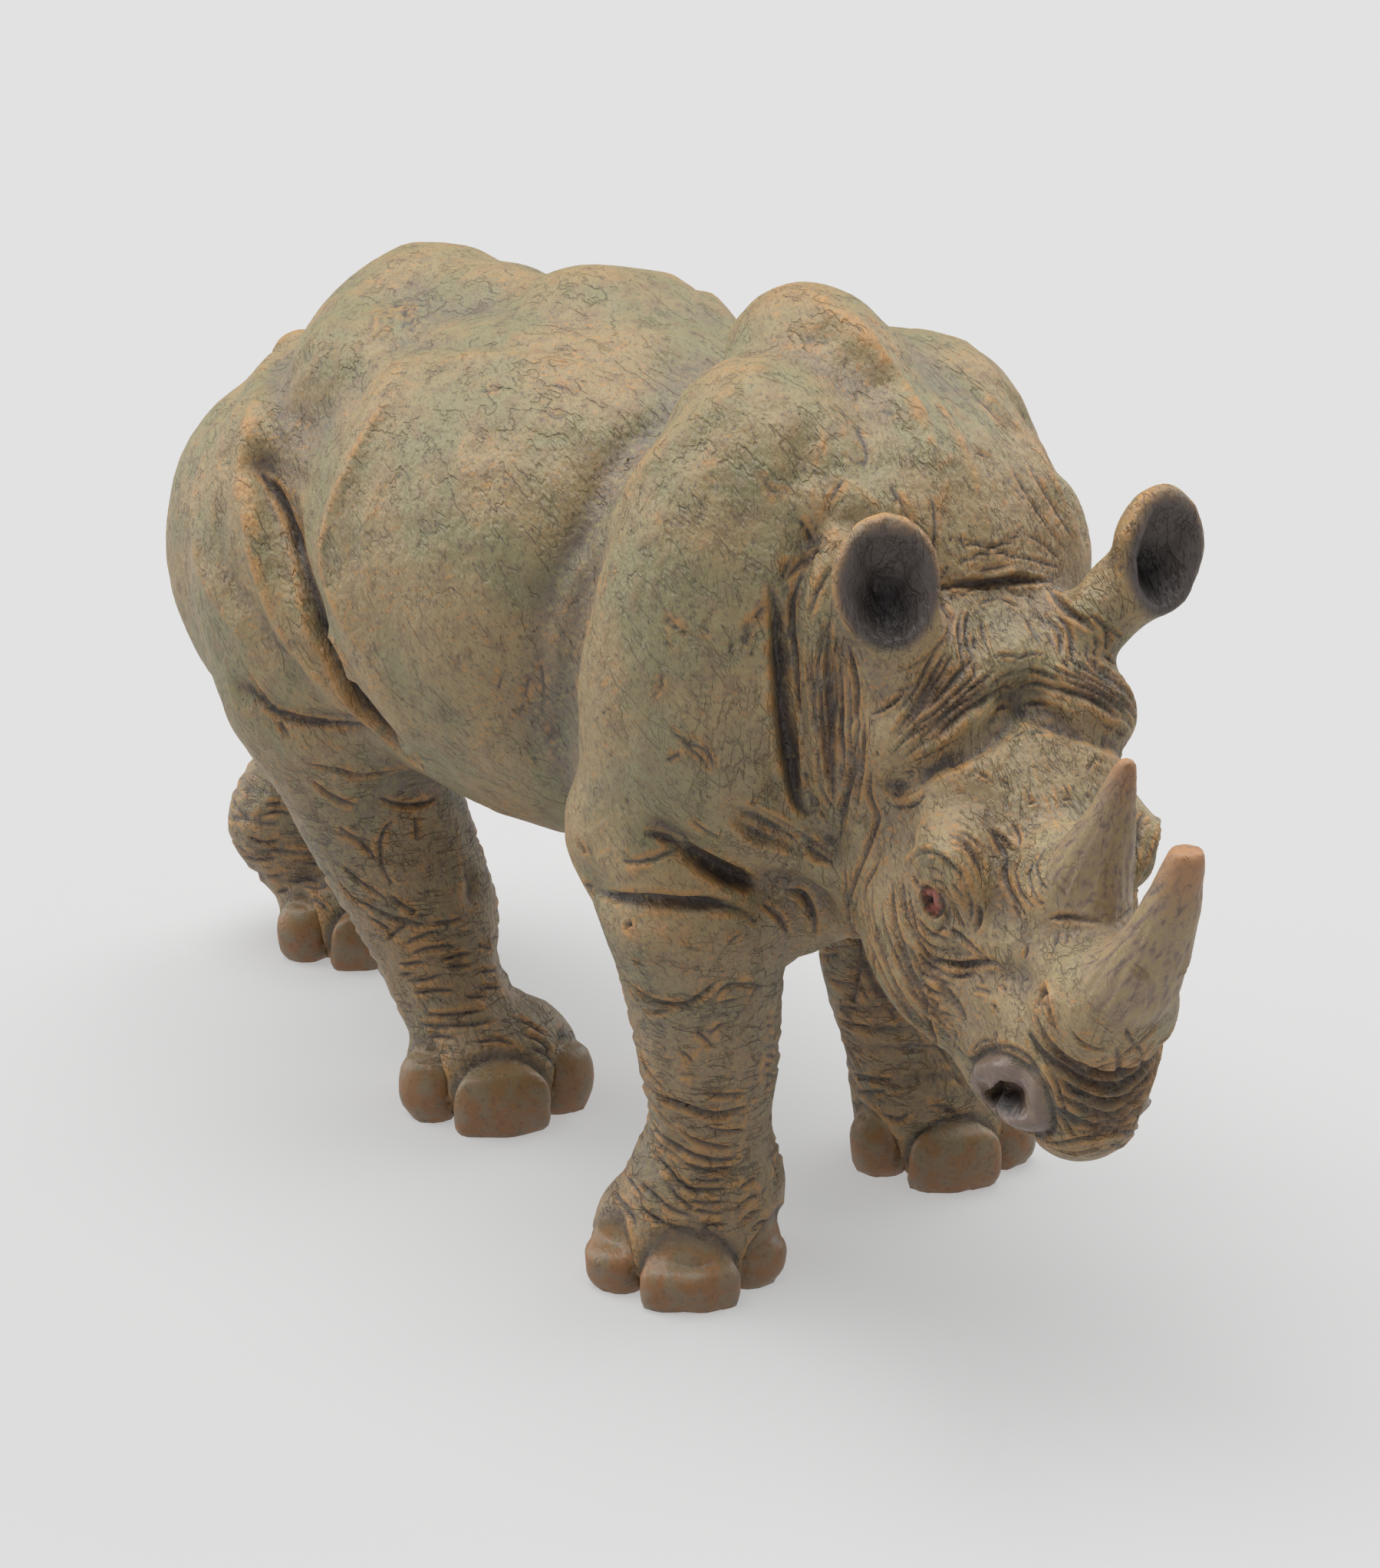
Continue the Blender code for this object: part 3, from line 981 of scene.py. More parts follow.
    def material(self) -> bpy.types.Material:
        """Builds the node material.

        Returns:
            The material, named for its finish.
        """
        made = bpy.data.materials.new("painted_vinyl")
        made.use_nodes = True
        bench = Bench(made.node_tree)
        shader = made.node_tree.nodes["Principled BSDF"]
        place = bench.place()
        mottle = bench.noise(place, self.mottle_scale, 5.0)
        specks = bench.noise(place, self.fleck_scale * 0.6, 4.0, (0.8, 0.0, 0.0), (1.0, 2.2, 1.0))
        lines = self.wrinkles(bench, place)
        colour = self.hide_colour(bench, place, lines)
        rise, nail = bench.attribute("horn_rise"), bench.attribute("nail")
        streaks = bench.noise(place, self.streak_scale, 2.0, HEAD_TO_FIGURE, (1.0, 1.0, 16.0))
        horn = bench.mix(bench.ramp(streaks, 0.42, 0.64), self.horn, self.olive)
        horn = bench.mix(bench.scaled(bench.ramp(streaks, 0.48, 0.30), 0.50), horn, self.wash)
        ragged = bench.scaled(bench.shift(streaks, -0.5), 0.35)
        tip = bench.ramp(bench.sum([rise, ragged]), 0.72, 1.0)
        horn = bench.mix(bench.scaled(tip, 0.85), horn, self.tip)
        colour = bench.mix(bench.scaled(bench.attribute("horn"), 0.94), colour, horn)
        smooth = bench.mix(bench.ramp(mottle, 0.42, 0.62), self.nail, self.umber)
        ragged = bench.scaled(mottle, 0.006)
        above = bench.ramp(bench.sum([bench.height(place), ragged]), 0.006, 0.014)
        smooth = bench.mix(bench.scaled(above, 0.38), smooth, self.moss)
        stained = bench.ramp(bench.noise(place, 1500.0, 5.0), 0.50, 0.70)
        smooth = bench.mix(bench.scaled(stained, 0.34), smooth, self.wash)
        colour = bench.mix(nail, colour, smooth)
        # Painted shade: the ear cups grow darker towards their deepest part.
        inside = bench.mix(bench.attribute("ear_shade"), self.cup, self.cup_shade)
        colour = bench.mix(bench.attribute("ear_cup"), colour, inside)
        fleshy = bench.mix(bench.scaled(bench.ramp(mottle, 0.44, 0.62), 0.5), self.lining, self.umber)
        colour = bench.mix(bench.attribute("lining"), colour, fleshy)
        colour = bench.mix(bench.attribute("eye"), colour, self.eye)
        # The pupils' paint, and painted shade in the nostril holes.
        dark = bench.attribute("dark")
        colour = bench.mix(dark, colour, self.dark)
        bench.join(colour, shader.inputs["Base Color"])
        light = bench.shift(bench.scaled(dark, -1.0), 1.0)
        damp = bench.scaled(bench.product(bench.attribute("lining"), light), 0.6)
        wet = bench.largest(bench.attribute("eye"), damp)
        matt = bench.shift(bench.scaled(mottle, 0.18), self.roughness - 0.09)
        matt = bench.mixed_value(nail, matt, self.nail_roughness)
        bench.join(bench.mixed_value(wet, matt, self.wet_roughness), shader.inputs["Roughness"])
        shader.inputs["Specular IOR Level"].default_value = 0.5
        soft = bench.largest(nail, bench.attribute("eye"), bench.attribute("lining"))
        height = bench.sum([bench.scaled(part, share) for part, share in
                            ((mottle, 0.45), (specks, 0.45), (lines, -0.45))])
        soft = bench.largest(soft, bench.scaled(bench.attribute("horn"), 0.7))
        height = bench.product(height, bench.shift(bench.scaled(soft, -0.8), 1.0))
        bench.join(bench.bump(height, 1.0, self.crack_depth), shader.inputs["Normal"])
        return made


@dataclass(frozen=True)
class Leg:
    """One leg: its axis from the body to the ankle, and the foot below it.

    Attributes:
        axis: places down the leg's middle with the leg's radius at each.
        sole: the middle of the sole.
        heading: the way the toes point, in degrees.
        size: the foot's size.
        seed: fixes the wrinkles.
        drawn: how far the drawn wrinkles take the place of the rings on the side that is seen.
        nail_top: how high the nails stand, as a share of the round toes.
    """

    axis: Sequence[tuple[float, float, float, float]]
    sole: Pixel
    heading: float
    size: float
    seed: int
    drawn: float = 1.0
    nail_top: float = 0.86

    def around(self, points: np.ndarray) -> tuple[np.ndarray, np.ndarray]:
        """How near each point is to the leg, and its angle about the leg.

        Args:
            points: places on the figure, one in each row.

        Returns:
            The distance as a share of the leg's radius there, and the angle in radians.
        """
        middle, radius = chain_at(self.axis[::-1], points[:, 2])
        away = points[:, :2] - middle
        return np.hypot(*away.T) / radius, np.arctan2(away[:, 1], away[:, 0])

    def rings(self, hide: Hide, seen: np.ndarray, lowest: float, highest: float) -> None:
        """Presses the rings of wrinkled skin into the leg.

        Args:
            hide: the skin.
            seen: how much each point faces the camera, where the wrinkles are drawn one by one.
            lowest: where the lowest ring lies.
            highest: where the highest ring lies.
        """
        share, angle = self.around(hide.points)
        on_leg = (share < 1.75) & (hide.points[:, 2] > lowest - 4) & (hide.points[:, 2] < highest + 5)
        inside = np.flatnonzero(on_leg & (abs(hide.normals[:, 2]) < 0.85))
        angle, height = angle[inside], hide.points[inside, 2]
        fade = 1.0 - self.drawn * smoothstep(-0.05, 0.35, seen[inside])
        chance = np.random.default_rng(self.seed)
        level = lowest
        while level < highest:
            tilt, phase = chance.uniform(0.3, 1.5), chance.uniform(0, 2 * np.pi, 4)
            line = level + tilt * np.sin(angle + phase[0]) + 0.35 * np.sin(3 * angle + phase[1])
            line = line + 0.22 * np.sin(7 * angle + phase[2])
            strength = smoothstep(-0.45, 0.5, np.sin(chance.integers(1, 4) * angle + phase[3]))
            strength = strength * smoothstep(highest + 3, highest - 10, level + 0 * angle) * fade
            width = chance.uniform(0.35, 0.62)
            depth = chance.uniform(0.45, 0.95) * strength
            gap = abs(height - line) / width
            beside = np.exp(-((gap - 1.9) / 0.9) ** 2)
            hide.cut[inside] = np.minimum(hide.cut[inside], -depth * np.exp(-gap ** 1.5 * 1.4))
            hide.swell[inside] = np.maximum(hide.swell[inside], 0.3 * depth * beside)
            hide.ink[inside] = np.maximum(hide.ink[inside], strength * np.exp(-gap ** 2 * 0.9))
            hide.lip[inside] = np.maximum(hide.lip[inside], strength * beside)
            level += chance.uniform(1.1, 2.5)

    def toe_axes(self, points: np.ndarray) -> list[tuple[np.ndarray, np.ndarray]]:
        """Points on the axes of each toe, where the toe has a radius of 1.

        Args:
            points: places on the figure, one in each row.

        Returns:
            For each toe, the points and the matrix that takes its axes back to the figure's.
        """
        turn = np.array(Matrix.Rotation(math.radians(self.heading), 3, "Z"))
        local = ((points - (*self.sole, 0.0)) @ turn) / self.size
        found = []
        for centre, radii, twist in TOES:
            own = np.array(Matrix.Rotation(math.radians(twist), 3, "Z"))
            back = self.size * np.diag(radii) @ own.T @ turn.T
            found.append((((local - centre) @ own) / radii, back))
        return found

    def toes(self, points: np.ndarray) -> np.ndarray:
        """How far inside the nearest toenail each point lies.

        Args:
            points: places on the figure, one in each row.

        Returns:
            A number that is 1 on a nail's outline, smaller inside it.
        """
        return np.min([np.linalg.norm(local, axis=1) for local, _ in self.toe_axes(points)], axis=0)

    def square_nails(self, hide: Hide) -> None:
        """Pulls the round toes out into broad, square nails that nearly touch.

        Args:
            hide: the skin.
        """
        turn = np.array(Matrix.Rotation(math.radians(self.heading), 3, "Z"))
        reaches = [np.linalg.norm(local, axis=1) for local, _ in self.toe_axes(hide.points)]
        nearest = np.argmin(reaches, axis=0)
        for number, (local, back) in enumerate(self.toe_axes(hide.points)):
            on = np.flatnonzero((nearest == number) & (reaches[number] < 1.25)
                                & (hide.points[:, 2] < TOE_HEIGHT))
            own = local[on]
            reach = reaches[number][on]
            share = smoothstep(1.22, 1.02, reach) * smoothstep(0.55, -0.1, own[:, 1])
            boxy = (np.abs(own) ** 3.4).sum(axis=1) ** (1 / 3.4)
            grow = np.minimum(reach / np.maximum(boxy, 1e-6), 1.22)
            breadth = 1.14 if number == 0 else 1.0
            moved = own * np.column_stack([grow * breadth, np.minimum(grow, 1.03), grow * self.nail_top])
            moved[:, 2] = np.where(own[:, 2] < 0, own[:, 2], moved[:, 2])
            step = ((moved - own) * share[:, None]) @ back
            inwards = -np.sign(TOES[number][0][0]) * 1.5 * self.size
            step += share[:, None] * (turn @ np.array((inwards, 0.3 if number else 0.0, 0.0)))
            hide.points[on] += step


# Where a foot's toes end, above the floor
TOE_HEIGHT = 14.0
# Each toe on the foot's axes: its middle, its radii and its turn in degrees
TOES = (((0.0, -9.4, 3.6), (5.6, 5.2, 6.0), 0.0),
        ((-10.2, -3.6, 3.8), (4.0, 4.9, 5.8), -40.0),
        ((10.2, -3.6, 3.8), (4.0, 4.9, 5.8), 40.0))

LEGS = (
    Leg([(-20.4, -26.2, 68, 15), (-23.4, -29.2, 54, 12.5), (-22.4, -30.2, 43, 10.4),
         (-21.4, -30.2, 32, 9.4), (-20.4, -29.7, 22, 7.9), (-19.9, -27.7, 12, 11)],
        (-22.4, -26.2), -34.0, 1.0, 11, 1.0, 0.40),
    Leg([(17.6, -25.2, 68, 15), (19.6, -21.2, 54, 12.5), (19.6, -19.2, 42, 10.6), (19.6, -18.2, 31, 9.4),
         (21.6, -19.2, 19, 8.2), (25.1, -21.2, 11, 11)], (27.1, -21.7), -30.0, 1.0, 12, 0.6),
    Leg([(-21.4, 56.8, 60, 15), (-17.9, 52.8, 48, 12.8), (-15.2, 50.4, 38, 12), (-12.6, 44.8, 26, 10.6),
         (-13.4, 39.8, 16, 8), (-11.4, 34.8, 9, 9.2)], (-10.4, 32.3), -30.0, 1.06, 13),
    Leg([(16.6, 76.8, 60, 15), (12.6, 90.8, 46, 12), (7.6, 99.8, 34, 8.5), (3.1, 105.8, 19, 10.4),
         (6.1, 100.8, 11, 9)], (7.6, 94.8), -20.0, 1.0, 14, 0.6),
)


@dataclass
class Legs:
    """The four legs: ringed skin, and three smooth nails on each foot.

    Attributes:
        legs: the legs.
        lowest: where the lowest ring of wrinkles lies.
        highest: where the highest lies.
    """

    legs: Sequence[Leg] = LEGS
    lowest: float = 12.5
    highest: float = 46.0

    def carve(self, hide: Hide, view: PhotoView) -> None:
        """Rings the skin and sets the nails off from it.

        Args:
            hide: the skin.
            view: the camera.
        """
        seen = hide.normals @ view.axes()[2]
        for leg in self.legs:
            leg.rings(hide, seen, self.lowest, self.highest)
            reach = leg.toes(hide.points)
            low = hide.points[:, 2] < TOE_HEIGHT
            gap = abs(reach - 1.18) / 0.10
            hide.cut[low] = np.minimum(hide.cut[low], -0.8 * np.exp(-gap[low] ** 2))
            hide.ink[low] = np.maximum(hide.ink[low], 0.8 * np.exp(-gap[low] ** 2))
            leg.square_nails(hide)

    def nail(self, points: np.ndarray) -> np.ndarray:
        """Where the nails are, from 0 to 1."""
        shares = [smoothstep(1.20, 1.10, leg.toes(points)) for leg in self.legs]
        return np.max(shares, axis=0) * smoothstep(13.0, 10.5, points[:, 2])

    def ringed(self, points: np.ndarray) -> np.ndarray:
        """Where the skin hangs in level rings, from 0 to 1."""
        return smoothstep(60.0, 40.0, points[:, 2]) * smoothstep(6.0, 12.0, points[:, 2])


@dataclass
class Horns:
    """Two horns on the nose, on the head's axes.

    Attributes:
        frame: the head's axes.
        front: the front horn as a chain of (x, y, z, radius).
        rear: the rear horn likewise.
        front_taper: the share of its thickness that the front horn keeps at each height.
        rear_taper: the same for the rear horn.
        flat_above: how far above the middle of its tip the front horn is cut level.
        skirt_rounds: how widely the front horn's foot is blended into the nose.
        flute_depth: half the depth of the fine lengthwise flutes.
    """

    frame: HeadFrame
    front: Sequence[tuple[float, float, float, float]] = (
        (0, -56, 2, 8.4), (0, -57, 9, 6.6), (0, -56, 16, 5.1), (0, -54, 23, 3.9), (0, -51.4, 29.2, 2.8))
    rear: Sequence[tuple[float, float, float, float]] = (
        (0, -43, -1, 6.6), (0, -42, 6, 5.0), (0, -40, 13, 3.6), (0, -36.8, 21, 1.9))
    front_taper: Sequence[tuple[float, float]] = (
        (-1, 1.0), (3, 0.92), (7, 0.77), (12, 0.75), (17, 0.79), (24, 0.80), (31, 0.76))
    rear_taper: Sequence[tuple[float, float]] = ((0, 1.0), (7, 0.95), (14, 0.86), (20, 0.76), (24, 0.66))
    flat_above: float = 1.0
    skirt_rounds: int = 45
    flute_depth: float = 0.13

    def cover(self, points: np.ndarray) -> tuple[np.ndarray, np.ndarray]:
        """Where the horns are, and how far up them each point lies.

        Args:
            points: places on the figure, one in each row.

        Returns:
            Two rows of numbers from 0 to 1.
        """
        local = self.frame.inside(points)
        share, rise = np.zeros(len(points)), np.zeros(len(points))
        for chain in (self.front, self.rear):
            lowest, highest = chain[0][2], chain[-1][2]
            middle, radius = chain_at(chain, local[:, 2])
            away = np.hypot(*(local[:, :2] - middle).T) / radius
            base = lowest + 4.5
            on = smoothstep(1.7, 1.25, away) * smoothstep(base - 1.0, base + 2.5, local[:, 2])
            on = on * smoothstep(highest + 9, highest + 6, local[:, 2])
            rise = np.where(on > share, (local[:, 2] - lowest) / (highest + 2 - lowest), rise)
            share = np.maximum(share, on)
        return share, np.clip(rise, 0.0, 1.0)

    def slim(self, hide: Hide) -> None:
        """Draws the horns in to a taper, blends them into the nose and cuts the front one's tip level.

        Args:
            hide: the skin.
        """
        local = self.frame.inside(hide.points)
        for chain, taper in ((self.front, self.front_taper), (self.rear, self.rear_taper)):
            shares, heights = np.array(taper, float), local[:, 2]
            middle = chain_at(chain, heights)[0]
            away = local[:, :2] - middle
            reach = np.hypot(*away.T)
            on = smoothstep(12.5, 9.0, reach) * (heights > shares[0, 0]) * (abs(away[:, 1]) < 12.0)
            if chain is self.rear:
                on = on * smoothstep(7.5, 5.5, reach)
            factor = 1.0 + (np.interp(heights, shares[:, 0], shares[:, 1]) - 1.0) * on
            local[:, :2] = middle + away * factor[:, None]
        hide.points = self.frame.outside(local)
        tip = self.frame.outside(np.array(self.front)[-1, :3])
        level = tip[2] + self.flat_above
        flat = (np.linalg.norm(hide.points - tip, axis=1) < 7.0) & (hide.points[:, 2] > level)
        hide.points[:, 2] = np.where(flat, level + (hide.points[:, 2] - level) * 0.08, hide.points[:, 2])
        reach = np.hypot(local[:, 0], local[:, 1] + 55.0)
        skirt = smoothstep(13.5, 10.0, reach) * smoothstep(-5.0, -1.0, local[:, 2])
        skirt = skirt * smoothstep(12.0, 7.0, local[:, 2])
        even = hide.average(hide.points, self.skirt_rounds)
        hide.points += (even - hide.points) * skirt[:, None]
        hide.write()

    def carve(self, hide: Hide) -> None:
        """Cuts the fine lengthwise flutes of the horns.

        Args:
            hide: the skin.
        """
        share, rise = self.cover(hide.points)
        on = np.flatnonzero(share > 0.05)
        local = self.frame.inside(hide.points[on])
        on_front = local[:, 1] < -47.0
        middle = np.where(on_front, -55.5, -40.5) + np.where(on_front, 4.0, 3.0) * rise[on]
        angle = np.arctan2(local[:, 1] - middle, local[:, 0])
        flutes = 0.5 * np.sin(17 * angle + 2.0 * rise[on]) + 0.5 * np.sin(29 * angle + 5.0 * rise[on] + 1.3)
        push = self.flute_depth * flutes * share[on] * (1.0 - 0.6 * rise[on])
        hide.points[on] += hide.normals[on] * push[:, None]


@dataclass
class Ears:
    """Two cupped ears.

    Attributes:
        cups: for each ear, the cup's middle, and its heading and roll in degrees.
        lean: how far the cups lean back, in degrees.
        half_width: half the width of a cup.
        half_length: half its length.
        growth: how much wider the cups become, as a share.
        flute_depth: half the depth of the flutes inside.
        sunk_depth: how much deeper the bottom of a cup becomes.
    """

    cups: Sequence[tuple[Point, float, float]] = (
        ((-22.0, -63.2, 102.6), -30.0, -4.0), ((12.4, -73.7, 102.3), -4.0, 10.0))
    lean: float = -10.0
    half_width: float = 6.0
    half_length: float = 7.6
    growth: float = 0.13
    flute_depth: float = 0.22
    sunk_depth: float = 1.5

    def swell(self, hide: Hide) -> None:
        """Widens the cups above their stalks and flutes them inside.

        Args:
            hide: the skin.
        """
        for cup in self.cups:
            own = self.local(hide.points, cup)
            on = smoothstep(13.0, 10.0, np.linalg.norm(own, axis=1)) * smoothstep(-8.5, -4.5, own[:, 2])
            on = on * (hide.points[:, 2] > 88.0)
            middle = np.array(cup[0])
            hide.points += (hide.points - middle) * (self.growth * on)[:, None]
            angle = np.arctan2(own[:, 2] + 3.0, own[:, 0])
            reach = np.hypot(own[:, 0] / self.half_width, own[:, 2] / self.half_length)
            inner = smoothstep(0.85, 0.6, reach) * on * (own[:, 1] > -2.0) * (own[:, 1] < 3.4)
            hide.points += hide.normals * (self.flute_depth * np.sin(angle * 9.0 + 1.0) * inner)[:, None]
            sunk = smoothstep(4.2, 0.5, np.hypot(own[:, 0], own[:, 2] + 2.6))
            sunk = sunk * (own[:, 1] > -2.5) * (own[:, 1] < 3.0) * (own[:, 2] < 5.0)
            hide.points -= hide.normals * (self.sunk_depth * sunk)[:, None]
        hide.write()

    def local(self, points: np.ndarray, cup: tuple[Point, float, float]) -> np.ndarray:
        """Points on a cup's own axes: +Z up the cup and -Y out of it.

        Args:
            points: places on the figure, one in each row.
            cup: its middle, heading and roll.

        Returns:
            The same places seen from the cup.
        """
        turn = Matrix.Rotation(math.radians(cup[1]), 3, "Z") @ Matrix.Rotation(math.radians(cup[2]), 3, "Y")
        turn = turn @ Matrix.Rotation(math.radians(self.lean), 3, "X")
        return (points - np.array(cup[0])) @ np.array(turn)

    def depth(self, points: np.ndarray) -> np.ndarray:
        """How near each point is to the deepest part of a cup, where painted shade darkens it.

        Args:
            points: places on the figure, one in each row.

        Returns:
            Numbers from 0 to 1.
        """
        found = np.zeros(len(points))
        for cup in self.cups:
            own = self.local(points, cup) / (1.0 + self.growth)
            found = np.maximum(found, smoothstep(5.2, 0.8, np.hypot(own[:, 0] * 1.25, own[:, 2] + 2.2)))
        return found

    def inside(self, points: np.ndarray, normals: np.ndarray) -> np.ndarray:
        """Where the dark inside of the cups is.

        Args:
            points: places on the figure, one in each row.
            normals: the direction out of the skin at each.

        Returns:
            Numbers from 0 to 1.
        """
        found = np.zeros(len(points))
        for cup in self.cups:
            own = self.local(points, cup) / (1.0 + self.growth)
            reach = np.hypot(own[:, 0] / self.half_width, own[:, 2] / self.half_length)
            deep = smoothstep(-1.9, -0.6, own[:, 1]) * (own[:, 1] < 3.4)
            facing = self.local(normals + np.array(cup[0]), cup)[:, 1] < 0.35
            found = np.maximum(found, smoothstep(0.98, 0.8, reach) * deep * facing)
        return found


@dataclass(frozen=True)
class Spot:
    """An oval on the skin, drawn on the photograph's frame.

    Attributes:
        centre: its middle, in pixels.
        half_length: half its longer side, in pixels.
        half_width: half its shorter side, in pixels.
        tilt: degrees from across the frame, clockwise.
        wobble: how uneven its outline is.
    """

    centre: Pixel
    half_length: float
    half_width: float
    tilt: float
    wobble: float = 0.0

    def reach(self, points: np.ndarray, view: PhotoView, place: np.ndarray) -> np.ndarray:
        """How far out from the oval's middle each point lies.

        Args:
            points: places on the figure, one in each row.
            view: the camera.
            place: the oval's middle on the skin.

        Returns:
            A number that is 1 on the outline and smaller inside; it is large far from the place.
        """
        out = np.full(len(points), 9.0)
        near = np.flatnonzero(np.linalg.norm(points - place, axis=1) < 11.0)
        away = view.project(points[near]) - self.centre
        turn = math.radians(self.tilt)
        along = away[:, 0] * math.cos(turn) + away[:, 1] * math.sin(turn)
        across = away[:, 1] * math.cos(turn) - away[:, 0] * math.sin(turn)
        angle = np.arctan2(across / self.half_width, along / self.half_length)
        uneven = 1.0 + self.wobble * (np.sin(3.0 * angle + 0.6) + 0.6 * np.sin(5.0 * angle + 2.0))
        out[near] = np.hypot(along / self.half_length, across / self.half_width) / uneven
        return out


@dataclass
class Face:
    """Eyes and nostrils: the near ones are drawn on the photograph's frame, the far ones mirrored.

    Attributes:
        frame: the head's axes.
        eye: the opening between the lids.
        pupil: the pupil.
        nostril: the nostril's fleshy lining.
        hole: the hole in it.
        hole_depth: how deep the hole is.
        throat: a place inside the muzzle, on the head's axes, that the hole is pushed towards.
        places: the middle of each spot on the skin, found when the face is carved.
    """

    frame: HeadFrame
    eye: Spot = Spot((1216.0, 1174.0), 17.5, 8.6, 73.0)
    pupil: Spot = Spot((1214.0, 1172.5), 7.0, 3.2, 76.0)
    nostril: Spot = Spot((1317.0, 1425.0), 59.0, 33.0, 43.0, 0.05)
    hole: Spot = Spot((1314.0, 1435.0), 27.0, 20.0, 38.0, 0.09)
    hole_depth: float = 3.8
    throat: Point = (0.0, -51.0, -9.0)
    places: dict[str, np.ndarray] = field(default_factory=dict)

    def both(self, name: str, points: np.ndarray, view: PhotoView) -> np.ndarray:
        """A spot's reach, on whichever side of the face is nearer.

        Args:
            name: "eye", "pupil", "nostril" or "hole".
            points: places on the figure, one in each row.
            view: the camera.

        Returns:
            The reach of each point.
        """
        spot, place = getattr(self, name), self.places[name]
        other = Mirror(self.frame).place(points)
        return np.minimum(spot.reach(points, view, place), spot.reach(other, view, place))

    def carve(self, hide: Hide, view: PhotoView) -> None:
        """Shapes the eyeballs and lids, and the nostrils with their linings.

        Args:
            hide: the skin.
            view: the camera.
        """
        for name in ("eye", "pupil", "nostril", "hole"):
            spot = getattr(self, name)
            self.places[name] = hide.cast(view, [spot.centre, (spot.centre[0] + 4, spot.centre[1])])[0]
        eye = self.both("eye", hide.points, view)
        nostril = self.both("nostril", hide.points, view)
        hole = self.both("hole", hide.points, view)
        inner = eye < 1.2
        hide.cut[inner] = 0.0
        hide.swell[inner] = 0.0
        hide.points -= hide.normals * (0.9 * smoothstep(1.5, 0.9, eye))[:, None]
        hide.swell[inner] = 0.55 * np.clip(1.0 - eye[inner] ** 2, 0.0, 1.0)
        hide.swell = np.maximum(hide.swell, 0.55 * np.exp(-((eye - 1.6) / 0.28) ** 2))
        side = self.frame.inside(hide.points)[:, 0] < 0.0
        within = nostril < 1.1
        hide.cut[within] = 0.0
        hide.swell[within] = 0.0
        hide.ink[within | inner] = 0.0
        hide.lip[within | inner] = 0.0
        rim = 0.75 * np.exp(-((nostril - 0.78) / 0.22) ** 2) * (hole > 0.9) * np.where(side, 1.0, 0.2)
        hide.swell = np.maximum(hide.swell, rim)
        hide.cut = np.minimum(hide.cut, -0.7 * np.exp(-((nostril - 1.16) / 0.1) ** 2))
        hide.ink = np.maximum(hide.ink, 0.9 * np.exp(-((nostril - 1.16) / 0.12) ** 2))
        hide.ink = np.maximum(hide.ink, 0.9 * np.exp(-((eye - 1.22) / 0.13) ** 2))
        deeper = self.frame.outside(np.array(self.throat)) - self.places["hole"]
        facing = view.axes()[2] - 1.4 * deeper / np.linalg.norm(deeper)
        facing /= np.linalg.norm(facing)
        for side, points in ((1, hide.points), (-1, Mirror(self.frame).place(hide.points))):
            sunk = smoothstep(1.12, 0.62, self.hole.reach(points, view, self.places["hole"]))
            inward = -facing if side > 0 else self.flipped(-facing)
            hide.points += inward * (self.hole_depth * sunk)[:, None]

    def flipped(self, direction: np.ndarray) -> np.ndarray:
        """A direction mirrored across the face."""
        turn = self.frame.matrix()
        return (direction @ turn * (-1.0, 1.0, 1.0)) @ turn.T

    def spots(self, points: np.ndarray, view: PhotoView) -> dict[str, np.ndarray]:
        """The paint of the eyes and nostrils, with painted shade in the nostril holes.

        Args:
            points: places on the figure, one in each row.
            view: the camera.

        Returns:
            For each colour, where it is, from 0 to 1.
        """
        eye, nostril = self.both("eye", points, view), self.both("nostril", points, view)
        hole, pupil = self.both("hole", points, view), self.both("pupil", points, view)
        far = self.frame.inside(points)[:, 0] > 0.0
        # dark holds the painted pupils and the painted shade in the nostril holes.
        return {"eye": smoothstep(1.12, 0.98, eye),
                "lining": smoothstep(1.12, 1.0, nostril) * (~far | (hole < 1.3)),
                "dark": np.maximum(smoothstep(1.1, 0.85, pupil), smoothstep(1.02, 0.72, hole))}


